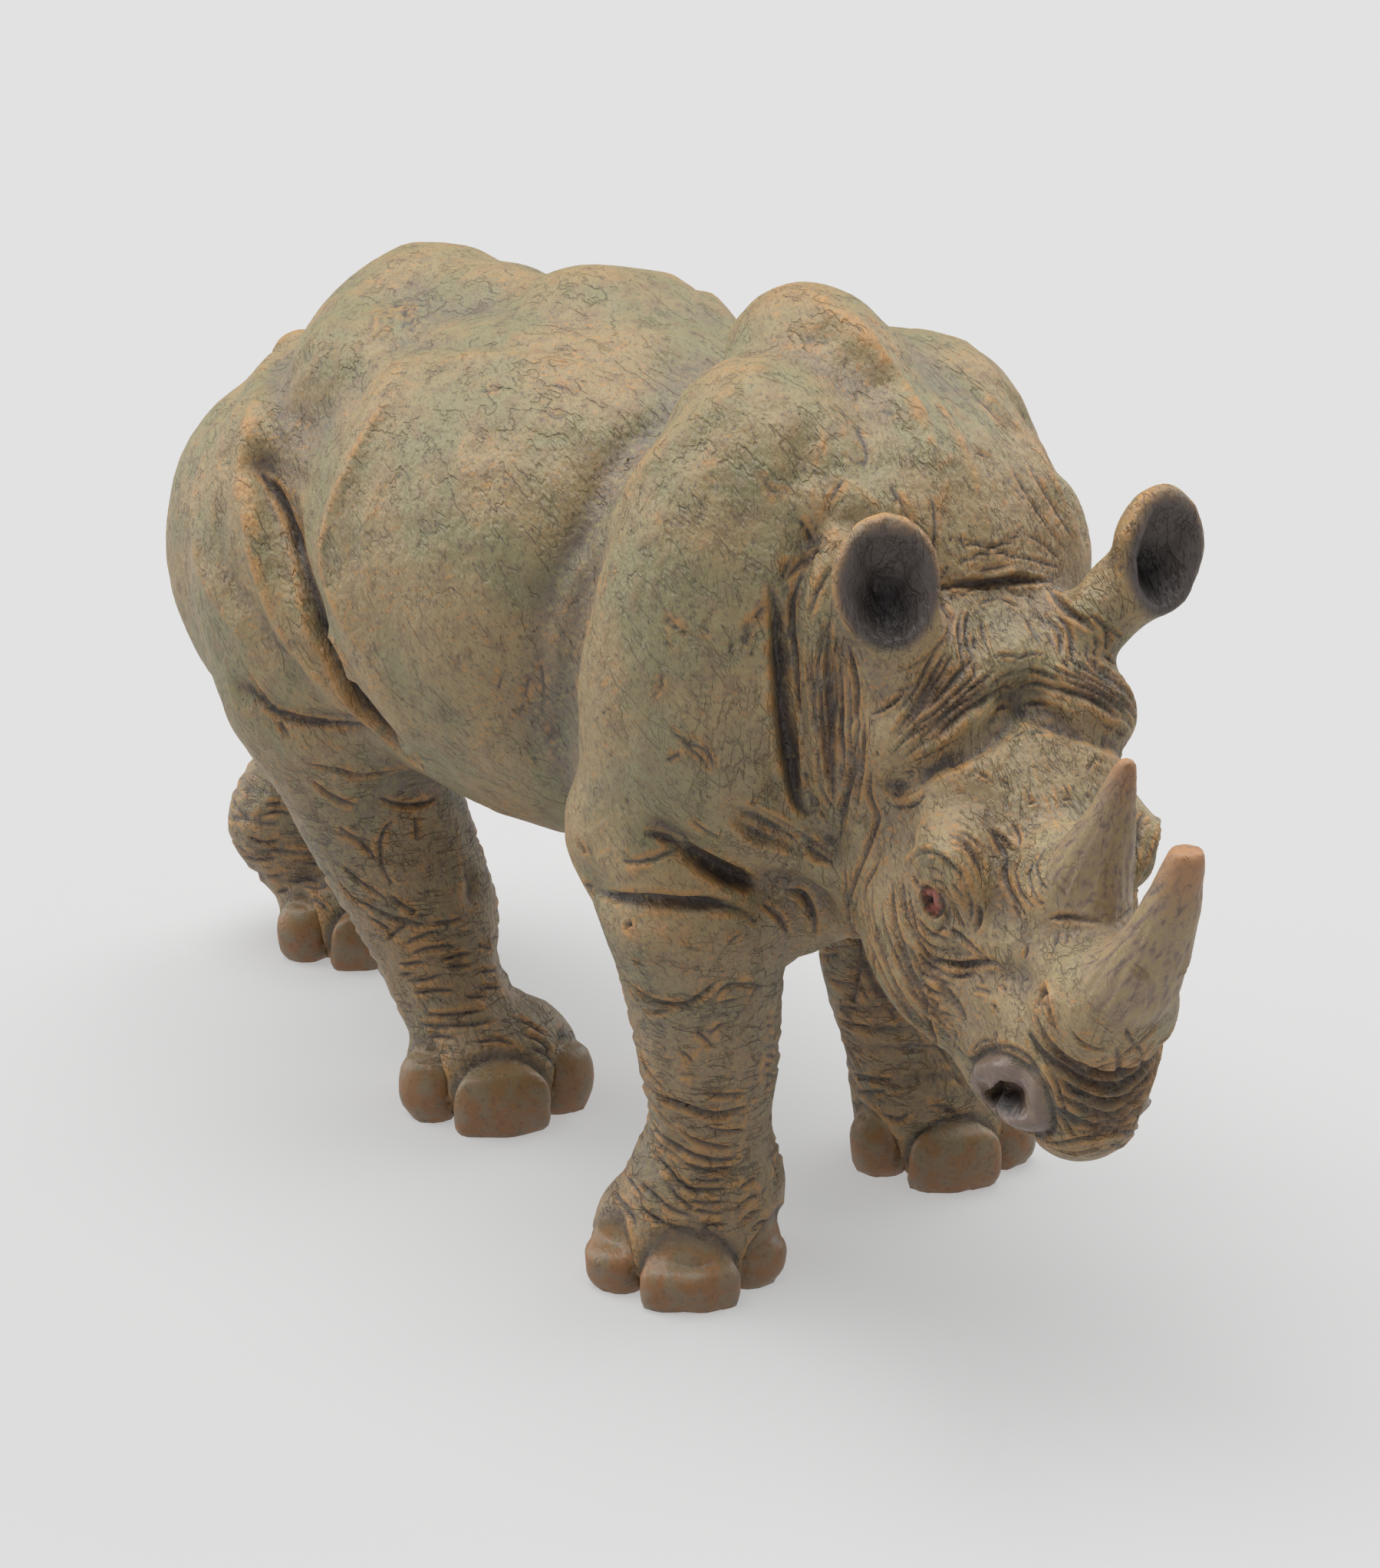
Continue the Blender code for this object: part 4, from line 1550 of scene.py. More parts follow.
TRUNK_MARKS: tuple[Stroke | Pleats, ...] = (
    ridge(1.7, 0.55, (368, 438), (338, 499), (325, 566), (325, 637), (330, 714), (348, 780), (373, 831),
        (419, 887), (465, 923)),
    ridge(1.7, 0.45, (353, 453), (292, 535), (261, 627), (254, 688), (266, 749), (297, 806), (333, 846)),
    hollow(2, 0.5, (368, 464), (307, 545), (289, 637), (287, 719), (307, 770), (353, 831), (414, 902)),
    hollow(1.8, 0.5, (414, 448), (368, 504), (363, 566), (379, 617), (414, 637)),
    ridge(1.3, 0.5, (527, 499), (486, 550), (455, 612), (430, 673), (422, 724), (430, 770), (455, 821),
        (486, 867)),
    ridge(1.2, 0.22, (506, 607), (481, 668), (476, 719), (486, 770), (516, 831)),
    hollow(2, 0.45, (414, 433), (486, 443), (567, 446), (659, 451), (741, 459), (838, 494)),
    ridge(1.8, 0.4, (368, 438), (414, 402), (465, 387), (493, 390)),
    ridge(1.6, 0.35, (532, 494), (598, 469), (659, 459), (741, 479), (761, 494)),
    ridge(2.2, 0.5, (996, 474), (914, 545), (843, 607), (802, 678), (761, 739), (741, 790), (728, 851),
        (720, 943)),
    hollow(2.2, 0.55, (940, 499), (863, 550), (802, 596), (777, 647), (756, 703), (726, 754), (697, 821)),
    hollow(1.6, 0.9, (945, 1048), (987, 1074), (1025, 1097), (1067, 1120)),
    ridge(0.22, 0.16, (1092, 371), (1110, 407), (1137, 452), (1168, 496), (1199, 541), (1221, 570),
        (1242, 590)),
    hollow(1.6, 0.35, (1034, 438), (1065, 442), (1096, 445)),
    hollow(1.8, 0.6, (1302, 492), (1346, 550), (1378, 608), (1404, 671), (1418, 715)),
    ridge(1.2, 0.4, (1257, 488), (1302, 532), (1342, 577), (1373, 626), (1396, 671), (1413, 720)),
    Stroke(((1043, 372), (1080, 400), (1125, 445), (1170, 505), (1210, 575), (1235, 640)), 2.0, 0.9,
        Profile.RIDGE, Sides.SEEN),
    Stroke(((1180, 470), (1225, 540), (1262, 610), (1290, 690)), 1.6, 0.5, Profile.RIDGE, Sides.SEEN),
    Pleats(((1062, 760), (1052, 850), (1062, 950), (1085, 1060)), ((1118, 870), (1122, 940), (1118, 1010),
        (1108, 1090)), 10, 0.36, 0.5, 5.0, 6),
    crease(1.2, 1.6, (887, 1101), (918, 1120), (952, 1139), (987, 1155)),
    crease(1.15, 1.7, (389, 703), (404, 765), (419, 811), (440, 846), (465, 897), (491, 933), (527, 979),
        (578, 1015)),
    crease(0.9, 1.5, (1004, 764), (1012, 795), (1015, 833), (1019, 875), (1021, 917), (1027, 963),
        (1033, 1009), (1040, 1044), (1056, 1065)),
    crease(0.75, 1, (334, 613), (358, 637), (379, 668), (391, 714), (403, 765)),
    crease(0.55, 0.8, (1006, 1074), (1033, 1093), (1063, 1113), (1086, 1124)),
    crease(0.5, 0.5, (317, 867), (338, 897), (358, 925), (404, 938), (445, 943), (491, 943)),
    *creases(0.45, 0.6, ((1092, 887), (1090, 917), (1084, 956), (1084, 1002), (1088, 1040)), ((1124, 937),
        (1113, 972), (1110, 1007), (1099, 1052), (1096, 1091))),
    *creases(0.4, 0.5, ((1048, 741), (1035, 780), (1033, 818), (1038, 856), (1040, 894), (1046, 933)),
        ((1107, 845), (1115, 879), (1117, 917), (1109, 948)), ((1121, 963), (1115, 1002), (1105, 1040),
        (1100, 1086)), ((841, 1082), (864, 1090), (895, 1105)), ((1106, 839), (1113, 867), (1118, 898),
        (1117, 930), (1120, 951)), ((1092, 874), (1090, 909), (1083, 951), (1082, 986), (1085, 1021))),
    crease(0.4, 0.35, (358, 928), (368, 948), (379, 964)),
    *creases(0.35, 0.4, ((1033, 726), (1023, 745), (1017, 760)), ((1056, 722), (1037, 741), (1021, 759)),
        ((1082, 707), (1063, 722), (1040, 745)), ((1086, 795), (1071, 841), (1063, 887), (1059, 933),
        (1061, 963)), ((1048, 998), (1056, 1025), (1071, 1051)), ((1136, 1000), (1134, 1035), (1145, 1067),
        (1134, 1098)), ((1145, 1052), (1143, 1077), (1131, 1105), (1120, 1137))),
    crease(0.35, 0.35, (811, 1122), (830, 1124)),
    crease(0.35, 0.3, (815, 1036), (818, 1051)),
    *creases(0.3, 0.35, ((1094, 726), (1075, 753), (1067, 776)), ((1059, 1032), (1071, 1059), (1082, 1078)),
        ((975, 1044), (987, 1051)), ((1329, 586), (1355, 630), (1382, 675), (1404, 711)), ((1094, 824),
        (1085, 860), (1071, 902), (1068, 937), (1064, 972)), ((1134, 951), (1125, 979), (1117, 1014),
        (1110, 1052)), ((1143, 979), (1145, 989))),
    *creases(0.3, 0.3, ((1065, 967), (1067, 1002), (1075, 1028)), ((949, 1051), (975, 1070), (1002, 1082)),
        ((864, 1116), (883, 1109)), ((895, 1063), (918, 1082), (941, 1093)), ((918, 963), (924, 982),
        (931, 1005)), ((977, 803), (968, 826)), ((998, 787), (987, 803), (979, 818)), ((956, 833),
        (949, 852)), ((1315, 604), (1346, 657), (1373, 697), (1396, 724)), ((1119, 604), (1096, 630),
        (1079, 657), (1061, 684)), ((1061, 1003), (1071, 1031), (1089, 1059)), ((1096, 726), (1071, 758),
        (1057, 796), (1054, 817))),
    *creases(0.3, 0.25, ((1271, 514), (1302, 550), (1329, 572)), ((980, 822), (967, 845)), ((994, 800),
        (980, 818))),
    *creases(0.3, 0.22, ((858, 806), (884, 821), (904, 831)), ((840, 918), (863, 892), (858, 867)),
        ((863, 948), (894, 964), (924, 984), (935, 1015)), ((955, 846), (981, 816), (1000, 790)),
        ((777, 780), (792, 765)), ((741, 857), (756, 841)), ((527, 617), (511, 624)), ((618, 512),
        (649, 507), (659, 502)), ((715, 499), (731, 504), (741, 512)), ((710, 535), (726, 545),
        (741, 540))),
    *creases(0.28, 0.3, ((1242, 592), (1230, 604), (1219, 617)), ((1378, 612), (1396, 648), (1409, 684),
        (1416, 711))),
    *creases(0.28, 0.28, ((868, 944), (895, 971), (914, 990), (931, 1017)), ((1033, 672), (1050, 688),
        (1058, 715))),
    *creases(0.28, 0.25, ((864, 994), (887, 982), (895, 981)), ((1115, 604), (1094, 634), (1071, 669),
        (1056, 707)), ((1293, 492), (1329, 537), (1364, 586), (1391, 621))),
    *creases(0.25, 0.22, ((792, 741), (811, 739)), ((776, 772), (788, 757), (803, 741)), ((841, 929),
        (849, 944)), ((845, 910), (859, 902)), ((853, 891), (868, 879)), ((857, 875), (872, 883)),
        ((860, 803), (880, 810)), ((864, 833), (876, 849)), ((780, 933), (799, 921)), ((738, 906),
        (757, 887)), ((753, 841), (772, 818)), ((696, 868), (707, 849)), ((719, 841), (730, 818)),
        ((1043, 679), (1054, 697), (1056, 715))),
    *creases(0.25, 0.2, ((662, 846), (654, 882), (644, 913)), ((690, 872), (685, 908), (674, 943)),
        ((703, 857), (710, 897), (705, 943)), ((692, 964), (697, 989), (705, 1010)), ((715, 908),
        (718, 953), (710, 994)), ((626, 821), (631, 846)), ((570, 821), (580, 841)), ((491, 387),
        (486, 418), (482, 446)), ((504, 387), (498, 418), (494, 446)), ((517, 387), (512, 418), (508, 446)),
        ((532, 387), (527, 418), (522, 446)), ((543, 387), (538, 418), (534, 446)), ((989, 619),
        (1006, 642), (1029, 638), (1048, 650)), ((910, 810), (926, 826), (945, 837)), ((1235, 510),
        (1248, 541), (1271, 550)), ((989, 612), (1007, 639), (1038, 648)), ((927, 800), (909, 818)),
        ((976, 849), (983, 856)), ((1114, 541), (1121, 568), (1123, 586))),
    crease(0.22, 0.2, (914, 611), (929, 634), (945, 642)),
    crease(0.22, 0.16, (1244, 590), (1271, 595)),
    crease(0.22, 0.15, (1230, 612), (1233, 644), (1230, 671), (1212, 693)),
    *creases(0.2, 0.2, ((1032, 438), (1029, 456)), ((1039, 440), (1037, 458)), ((1047, 441), (1045, 459)),
        ((1054, 442), (1052, 460)), ((1062, 444), (1060, 462)), ((1070, 445), (1067, 463)), ((1077, 446),
        (1075, 464)), ((1085, 448), (1083, 466)), ((1092, 449), (1090, 467))),
    *creases(0.2, 0.16, ((1047, 417), (1058, 434)), ((1058, 420), (1069, 436)), ((1069, 422), (1080, 438)),
        ((1079, 425), (1091, 439))),
)


HEAD_MARKS: tuple[Stroke | Pleats, ...] = (
    ridge(0.5, 0.25, (1232, 749), (1274, 748), (1317, 747), (1355, 749)),
    ridge(0.9, 0.35, (1317, 902), (1289, 926), (1260, 947), (1229, 965), (1197, 982), (1169, 1000)),
    hollow(1.3, 0.8, (1338, 916), (1310, 947), (1281, 972), (1250, 989), (1218, 1003), (1194, 1024)),
    ridge(1, 0.3, (1355, 895), (1380, 916), (1401, 937), (1418, 958)),
    ridge(0.7, 0.3, (1148, 1000), (1152, 1024), (1169, 1042), (1194, 1038), (1208, 1024)),
    ridge(0.25, 0.16, (1332, 947), (1341, 979), (1350, 1010), (1362, 1042), (1376, 1074), (1388, 1091)),
    ridge(0.45, 0.28, (1178, 1141), (1184, 1118), (1203, 1105), (1222, 1106), (1241, 1118), (1259, 1138),
        (1268, 1157)),
    hollow(0.8, 0.5, (1259, 1157), (1264, 1180), (1264, 1199)),
    ridge(0.4, 0.2, (1211, 1239), (1230, 1245), (1253, 1250), (1276, 1249)),
    ridge(0.4, 0.2, (1218, 1261), (1238, 1266), (1260, 1265)),
    ridge(0.4, 0.2, (1264, 1382), (1280, 1365), (1299, 1359)),
    Stroke(((1469, 1261), (1484, 1269), (1503, 1281)), 0.35, 0.4, sides=Sides.SEEN),
    Stroke(((1478, 1269), (1491, 1276)), 0.35, 0.4, sides=Sides.SEEN),
    Pleats(((1234, 800), (1215, 860), (1180, 920), (1140, 965)), ((1335, 880), (1290, 905), (1232, 945),
        (1178, 1000)), 9, 0.42, 0.6, 5.0, 3),
    Pleats(((1100, 1105), (1108, 1200), (1150, 1300), (1222, 1385)), ((1160, 1120), (1172, 1220),
        (1215, 1310), (1268, 1368)), 8, 0.36, 0.42, 5.0, 4),
    Pleats(((1190, 1215), (1215, 1250), (1262, 1270)), ((1170, 1270), (1205, 1310), (1260, 1330)), 6, 0.36,
        0.45, 4.0, 5),
    crease(0.85, 1.2, (1347, 1321), (1362, 1349), (1384, 1372), (1412, 1392), (1444, 1403), (1475, 1392),
        (1501, 1375)),
    crease(0.75, 1.1, (1338, 1343), (1358, 1375), (1389, 1398), (1424, 1416), (1461, 1418), (1492, 1400),
        (1512, 1383)),
    crease(0.7, 1.0, (1372, 1400), (1401, 1423), (1435, 1437), (1472, 1433), (1501, 1415)),
    crease(0.7, 0.6, (1469, 1459), (1486, 1442), (1502, 1419), (1509, 1394)),
    crease(0.6, 0.8, (1378, 1423), (1409, 1445), (1446, 1455), (1484, 1445)),
    crease(0.55, 0.9, (1362, 1350), (1375, 1373), (1394, 1390), (1417, 1402), (1440, 1409)),
    *creases(0.5, 0.8, ((1351, 1315), (1362, 1292), (1369, 1321), (1378, 1349)), ((1215, 768), (1262, 760),
        (1320, 757), (1372, 757))),
    *creases(0.45, 0.6, ((1360, 760), (1373, 775), (1390, 795), (1411, 810), (1429, 824)), ((1303, 958),
        (1281, 975), (1257, 991), (1232, 1002), (1204, 1017))),
    crease(0.42, 0.6, (1241, 763), (1267, 762), (1296, 759), (1324, 758), (1355, 756)),
    crease(0.42, 0.55, (1215, 1245), (1230, 1252), (1253, 1257), (1280, 1255), (1299, 1256), (1314, 1268)),
    crease(0.4, 0.6, (1234, 1207), (1249, 1218), (1264, 1230), (1280, 1245), (1293, 1253)),
    *creases(0.4, 0.5, ((1234, 1091), (1249, 1092), (1264, 1105), (1276, 1126), (1282, 1149)),
        ((1188, 1271), (1201, 1298), (1209, 1325), (1218, 1352), (1234, 1379), (1249, 1400)), ((1379, 1402),
        (1394, 1423), (1414, 1433), (1433, 1435)), ((1389, 1452), (1421, 1466), (1455, 1472),
        (1481, 1463))),
    crease(0.4, 0.45, (1272, 1176), (1277, 1187), (1276, 1203), (1270, 1218)),
    *creases(0.4, 0.4, ((1291, 1078), (1304, 1101), (1314, 1120)), ((1314, 1115), (1310, 1138),
        (1318, 1164), (1333, 1187), (1341, 1203))),
    *creases(0.35, 0.5, ((1268, 1390), (1275, 1373), (1295, 1365), (1318, 1367), (1341, 1382), (1356, 1405),
        (1368, 1428)), ((1425, 1400), (1448, 1399), (1467, 1390), (1490, 1375), (1505, 1356)),
        ((1440, 1413), (1463, 1411), (1482, 1402), (1502, 1382), (1511, 1363))),
    *creases(0.35, 0.45, ((1215, 1147), (1228, 1151), (1238, 1166), (1245, 1183), (1253, 1201),
        (1260, 1214)), ((1364, 1199), (1387, 1196), (1414, 1199), (1440, 1204))),
    *creases(0.35, 0.4, ((1142, 1072), (1140, 1092), (1128, 1118), (1119, 1141), (1107, 1172),
        (1100, 1206)), ((1136, 1233), (1140, 1256), (1142, 1279)), ((1216, 1252), (1222, 1271),
        (1234, 1291), (1253, 1314), (1261, 1333)), ((1232, 752), (1290, 743), (1350, 742))),
    *creases(0.33, 0.5, ((1394, 1444), (1417, 1451), (1448, 1451), (1471, 1440), (1490, 1425)),
        ((1417, 1433), (1448, 1435), (1475, 1425), (1498, 1405)), ((1402, 1465), (1429, 1467), (1456, 1461),
        (1475, 1448))),
    crease(0.33, 0.45, (1356, 1486), (1379, 1490), (1402, 1486), (1425, 1482), (1448, 1475), (1463, 1463)),
    crease(0.32, 0.4, (1333, 1111), (1324, 1134), (1329, 1160), (1345, 1180), (1356, 1187)),
    crease(0.3, 0.45, (1190, 1138), (1195, 1151), (1204, 1160), (1211, 1164)),
    *creases(0.3, 0.4, ((1296, 870), (1278, 898), (1260, 923), (1236, 940), (1208, 958), (1183, 979)),
        ((1274, 891), (1253, 916), (1229, 933), (1201, 951), (1176, 968), (1159, 989)), ((1246, 891),
        (1232, 916), (1208, 937), (1187, 954), (1169, 968)), ((1204, 898), (1190, 923), (1176, 944),
        (1162, 961)), ((1192, 1188), (1200, 1203), (1215, 1218), (1234, 1225), (1251, 1231)), ((1368, 1390),
        (1379, 1417), (1387, 1444), (1394, 1467)), ((1375, 1498), (1402, 1502), (1425, 1498), (1444, 1490)),
        ((1379, 1448), (1391, 1467), (1404, 1482))),
    *creases(0.3, 0.35, ((1278, 800), (1281, 824), (1287, 849)), ((1267, 789), (1260, 810), (1260, 839),
        (1274, 867)), ((1257, 789), (1250, 817), (1253, 846), (1257, 877), (1246, 905)), ((1183, 891),
        (1173, 909), (1155, 923), (1134, 933)), ((1246, 944), (1218, 961), (1194, 975), (1173, 993)),
        ((1324, 921), (1348, 917), (1373, 919), (1387, 930)), ((1338, 937), (1359, 937), (1383, 942)),
        ((1383, 853), (1392, 867), (1397, 877)), ((1184, 1138), (1192, 1118), (1207, 1111), (1222, 1113),
        (1238, 1124), (1253, 1141), (1260, 1159)), ((1241, 1101), (1257, 1105), (1268, 1118), (1274, 1138)),
        ((1184, 1164), (1189, 1187), (1195, 1214), (1211, 1231), (1230, 1238), (1253, 1235)), ((1230, 1268),
        (1253, 1273), (1276, 1266)), ((1150, 1103), (1142, 1130), (1130, 1153), (1127, 1180), (1132, 1210)),
        ((1165, 1287), (1180, 1314), (1203, 1340), (1218, 1363)), ((1349, 1482), (1371, 1478),
        (1391, 1480)), ((1433, 1425), (1456, 1425), (1475, 1415)), ((1406, 1379), (1429, 1390),
        (1452, 1386), (1475, 1379)), ((1456, 1382), (1471, 1371), (1490, 1356))),
    *creases(0.3, 0.3, ((1415, 796), (1436, 814), (1457, 828), (1471, 842)), ((1239, 860), (1229, 881),
        (1215, 902), (1197, 919)), ((1152, 1045), (1173, 1052), (1194, 1049), (1208, 1035)), ((1425, 975),
        (1432, 989), (1439, 996)), ((1165, 1203), (1176, 1226), (1195, 1252), (1203, 1275), (1215, 1302)),
        ((1482, 1390), (1494, 1379), (1505, 1367))),
    *creases(0.28, 0.4, ((1349, 1118), (1341, 1141), (1350, 1168), (1364, 1180)), ((1364, 1103),
        (1352, 1126), (1356, 1149), (1368, 1160))),
    *creases(0.28, 0.35, ((1250, 712), (1274, 709), (1289, 714), (1317, 707)), ((1439, 853), (1457, 867),
        (1476, 877)), ((1446, 877), (1460, 895), (1476, 905)), ((1436, 905), (1453, 919), (1474, 930)),
        ((1425, 923), (1446, 940), (1473, 954)), ((1209, 1317), (1222, 1310), (1218, 1324), (1234, 1327)),
        ((1477, 1254), (1490, 1266), (1505, 1279)), ((1261, 1379), (1280, 1359), (1301, 1356)),
        ((1352, 1390), (1368, 1417), (1375, 1444), (1387, 1474)), ((1394, 1337), (1406, 1356), (1425, 1367),
        (1448, 1371))),
    *creases(0.28, 0.3, ((1264, 733), (1274, 723), (1296, 721)), ((1246, 796), (1236, 824), (1236, 846)),
        ((1274, 789), (1289, 782), (1303, 779)), ((1260, 954), (1232, 972), (1204, 986), (1180, 996)),
        ((1341, 954), (1366, 954), (1387, 951)), ((1320, 881), (1341, 874), (1366, 881), (1387, 895)),
        ((1327, 898), (1348, 891), (1369, 898), (1394, 916)), ((1173, 1010), (1190, 1007), (1183, 1017)),
        ((1453, 898), (1476, 919)), ((1239, 1082), (1260, 1088), (1276, 1103), (1284, 1122)), ((1234, 1143),
        (1247, 1160), (1257, 1180), (1260, 1199)), ((1180, 1149), (1176, 1172), (1182, 1195), (1194, 1220),
        (1207, 1237)), ((1176, 1141), (1178, 1164), (1182, 1187), (1192, 1210)), ((1127, 1218),
        (1132, 1241), (1123, 1271), (1127, 1287)), ((1192, 1252), (1207, 1260), (1222, 1279), (1230, 1294),
        (1238, 1317)), ((1241, 1333), (1249, 1356), (1253, 1371)), ((1295, 1308), (1301, 1317)),
        ((1293, 1340), (1299, 1352), (1295, 1363)), ((1304, 1283), (1314, 1293)), ((1341, 1231),
        (1337, 1252)), ((1383, 1214), (1375, 1233), (1370, 1252)), ((1394, 1218), (1387, 1233)),
        ((1356, 1287), (1358, 1314), (1371, 1337), (1387, 1356)), ((1318, 1176), (1331, 1195)),
        ((1276, 1271), (1283, 1283)), ((1264, 1287), (1283, 1291), (1295, 1294)), ((1314, 1361),
        (1333, 1371), (1352, 1390), (1368, 1413)), ((1482, 1363), (1498, 1348), (1509, 1333)),
        ((1368, 1459), (1379, 1467), (1387, 1478))),
    crease(0.28, 0.28, (1159, 1031), (1180, 1038), (1201, 1028)),
    crease(0.26, 0.4, (1218, 1157), (1227, 1168), (1230, 1183), (1224, 1192), (1215, 1189), (1207, 1180)),
    *creases(0.25, 0.4, ((1318, 1069), (1329, 1092), (1326, 1111)), ((1299, 1084), (1310, 1095),
        (1320, 1111))),
    *creases(0.25, 0.3, ((1136, 1092), (1127, 1118), (1113, 1149), (1105, 1180)), ((1371, 1145),
        (1383, 1160), (1396, 1176)), ((1479, 1267), (1496, 1277))),
    *creases(0.25, 0.28, ((1203, 1130), (1218, 1134), (1234, 1141)), ((1218, 1218), (1227, 1211),
        (1238, 1208)), ((1215, 1337), (1230, 1333), (1241, 1337)), ((1173, 1175), (1182, 1194),
        (1190, 1216), (1204, 1235), (1220, 1254), (1228, 1268)), ((1190, 1251), (1206, 1260), (1220, 1276),
        (1228, 1295)), ((1198, 1279), (1204, 1304), (1212, 1331), (1217, 1350)), ((1165, 1282),
        (1176, 1304), (1193, 1326), (1204, 1342)), ((1182, 1326), (1193, 1347), (1209, 1364)),
        ((1239, 1386), (1247, 1405), (1264, 1427)), ((1212, 1326), (1220, 1315), (1226, 1320)),
        ((1217, 1337), (1228, 1331), (1245, 1328)), ((1291, 1306), (1297, 1315), (1305, 1326)),
        ((1294, 1342), (1300, 1350), (1291, 1358)), ((1242, 1337), (1246, 1353), (1242, 1367)),
        ((1228, 1282), (1239, 1304), (1253, 1320), (1261, 1337)), ((1354, 1282), (1360, 1304), (1371, 1326),
        (1379, 1339)), ((1132, 1227), (1138, 1246), (1139, 1268)), ((1130, 1188), (1132, 1208),
        (1135, 1224)), ((1099, 1180), (1105, 1194), (1102, 1210)), ((1119, 1166), (1113, 1186),
        (1102, 1205)), ((1138, 1197), (1146, 1216), (1141, 1230))),
    *creases(0.25, 0.25, ((1246, 772), (1278, 768), (1310, 768)), ((1296, 739), (1317, 726), (1348, 730),
        (1380, 740), (1392, 747)), ((1327, 695), (1355, 705), (1376, 723), (1395, 740)), ((1317, 867),
        (1341, 853), (1366, 853)), ((1362, 824), (1376, 846)), ((1264, 1003), (1281, 1010), (1296, 1021)),
        ((1338, 1049), (1352, 1045)), ((1443, 951), (1464, 968)), ((1150, 1287), (1157, 1314),
        (1172, 1337)), ((1226, 1279), (1241, 1294), (1257, 1317)), ((1119, 1264), (1127, 1294),
        (1142, 1317)), ((1387, 1141), (1394, 1160))),
    crease(0.22, 0.25, (1400, 1134), (1394, 1153), (1387, 1164)),
    crease(0.22, 0.22, (1387, 1021), (1395, 1042)),
    *creases(0.22, 0.2, ((1338, 775), (1352, 782)), ((1232, 705), (1246, 702), (1267, 705)), ((1246, 1021),
        (1253, 1035)), ((1310, 1042), (1313, 1056)), ((1401, 1014), (1408, 1007)), ((1146, 1203),
        (1153, 1233), (1161, 1256)), ((1157, 1180), (1165, 1195), (1165, 1214))),
)


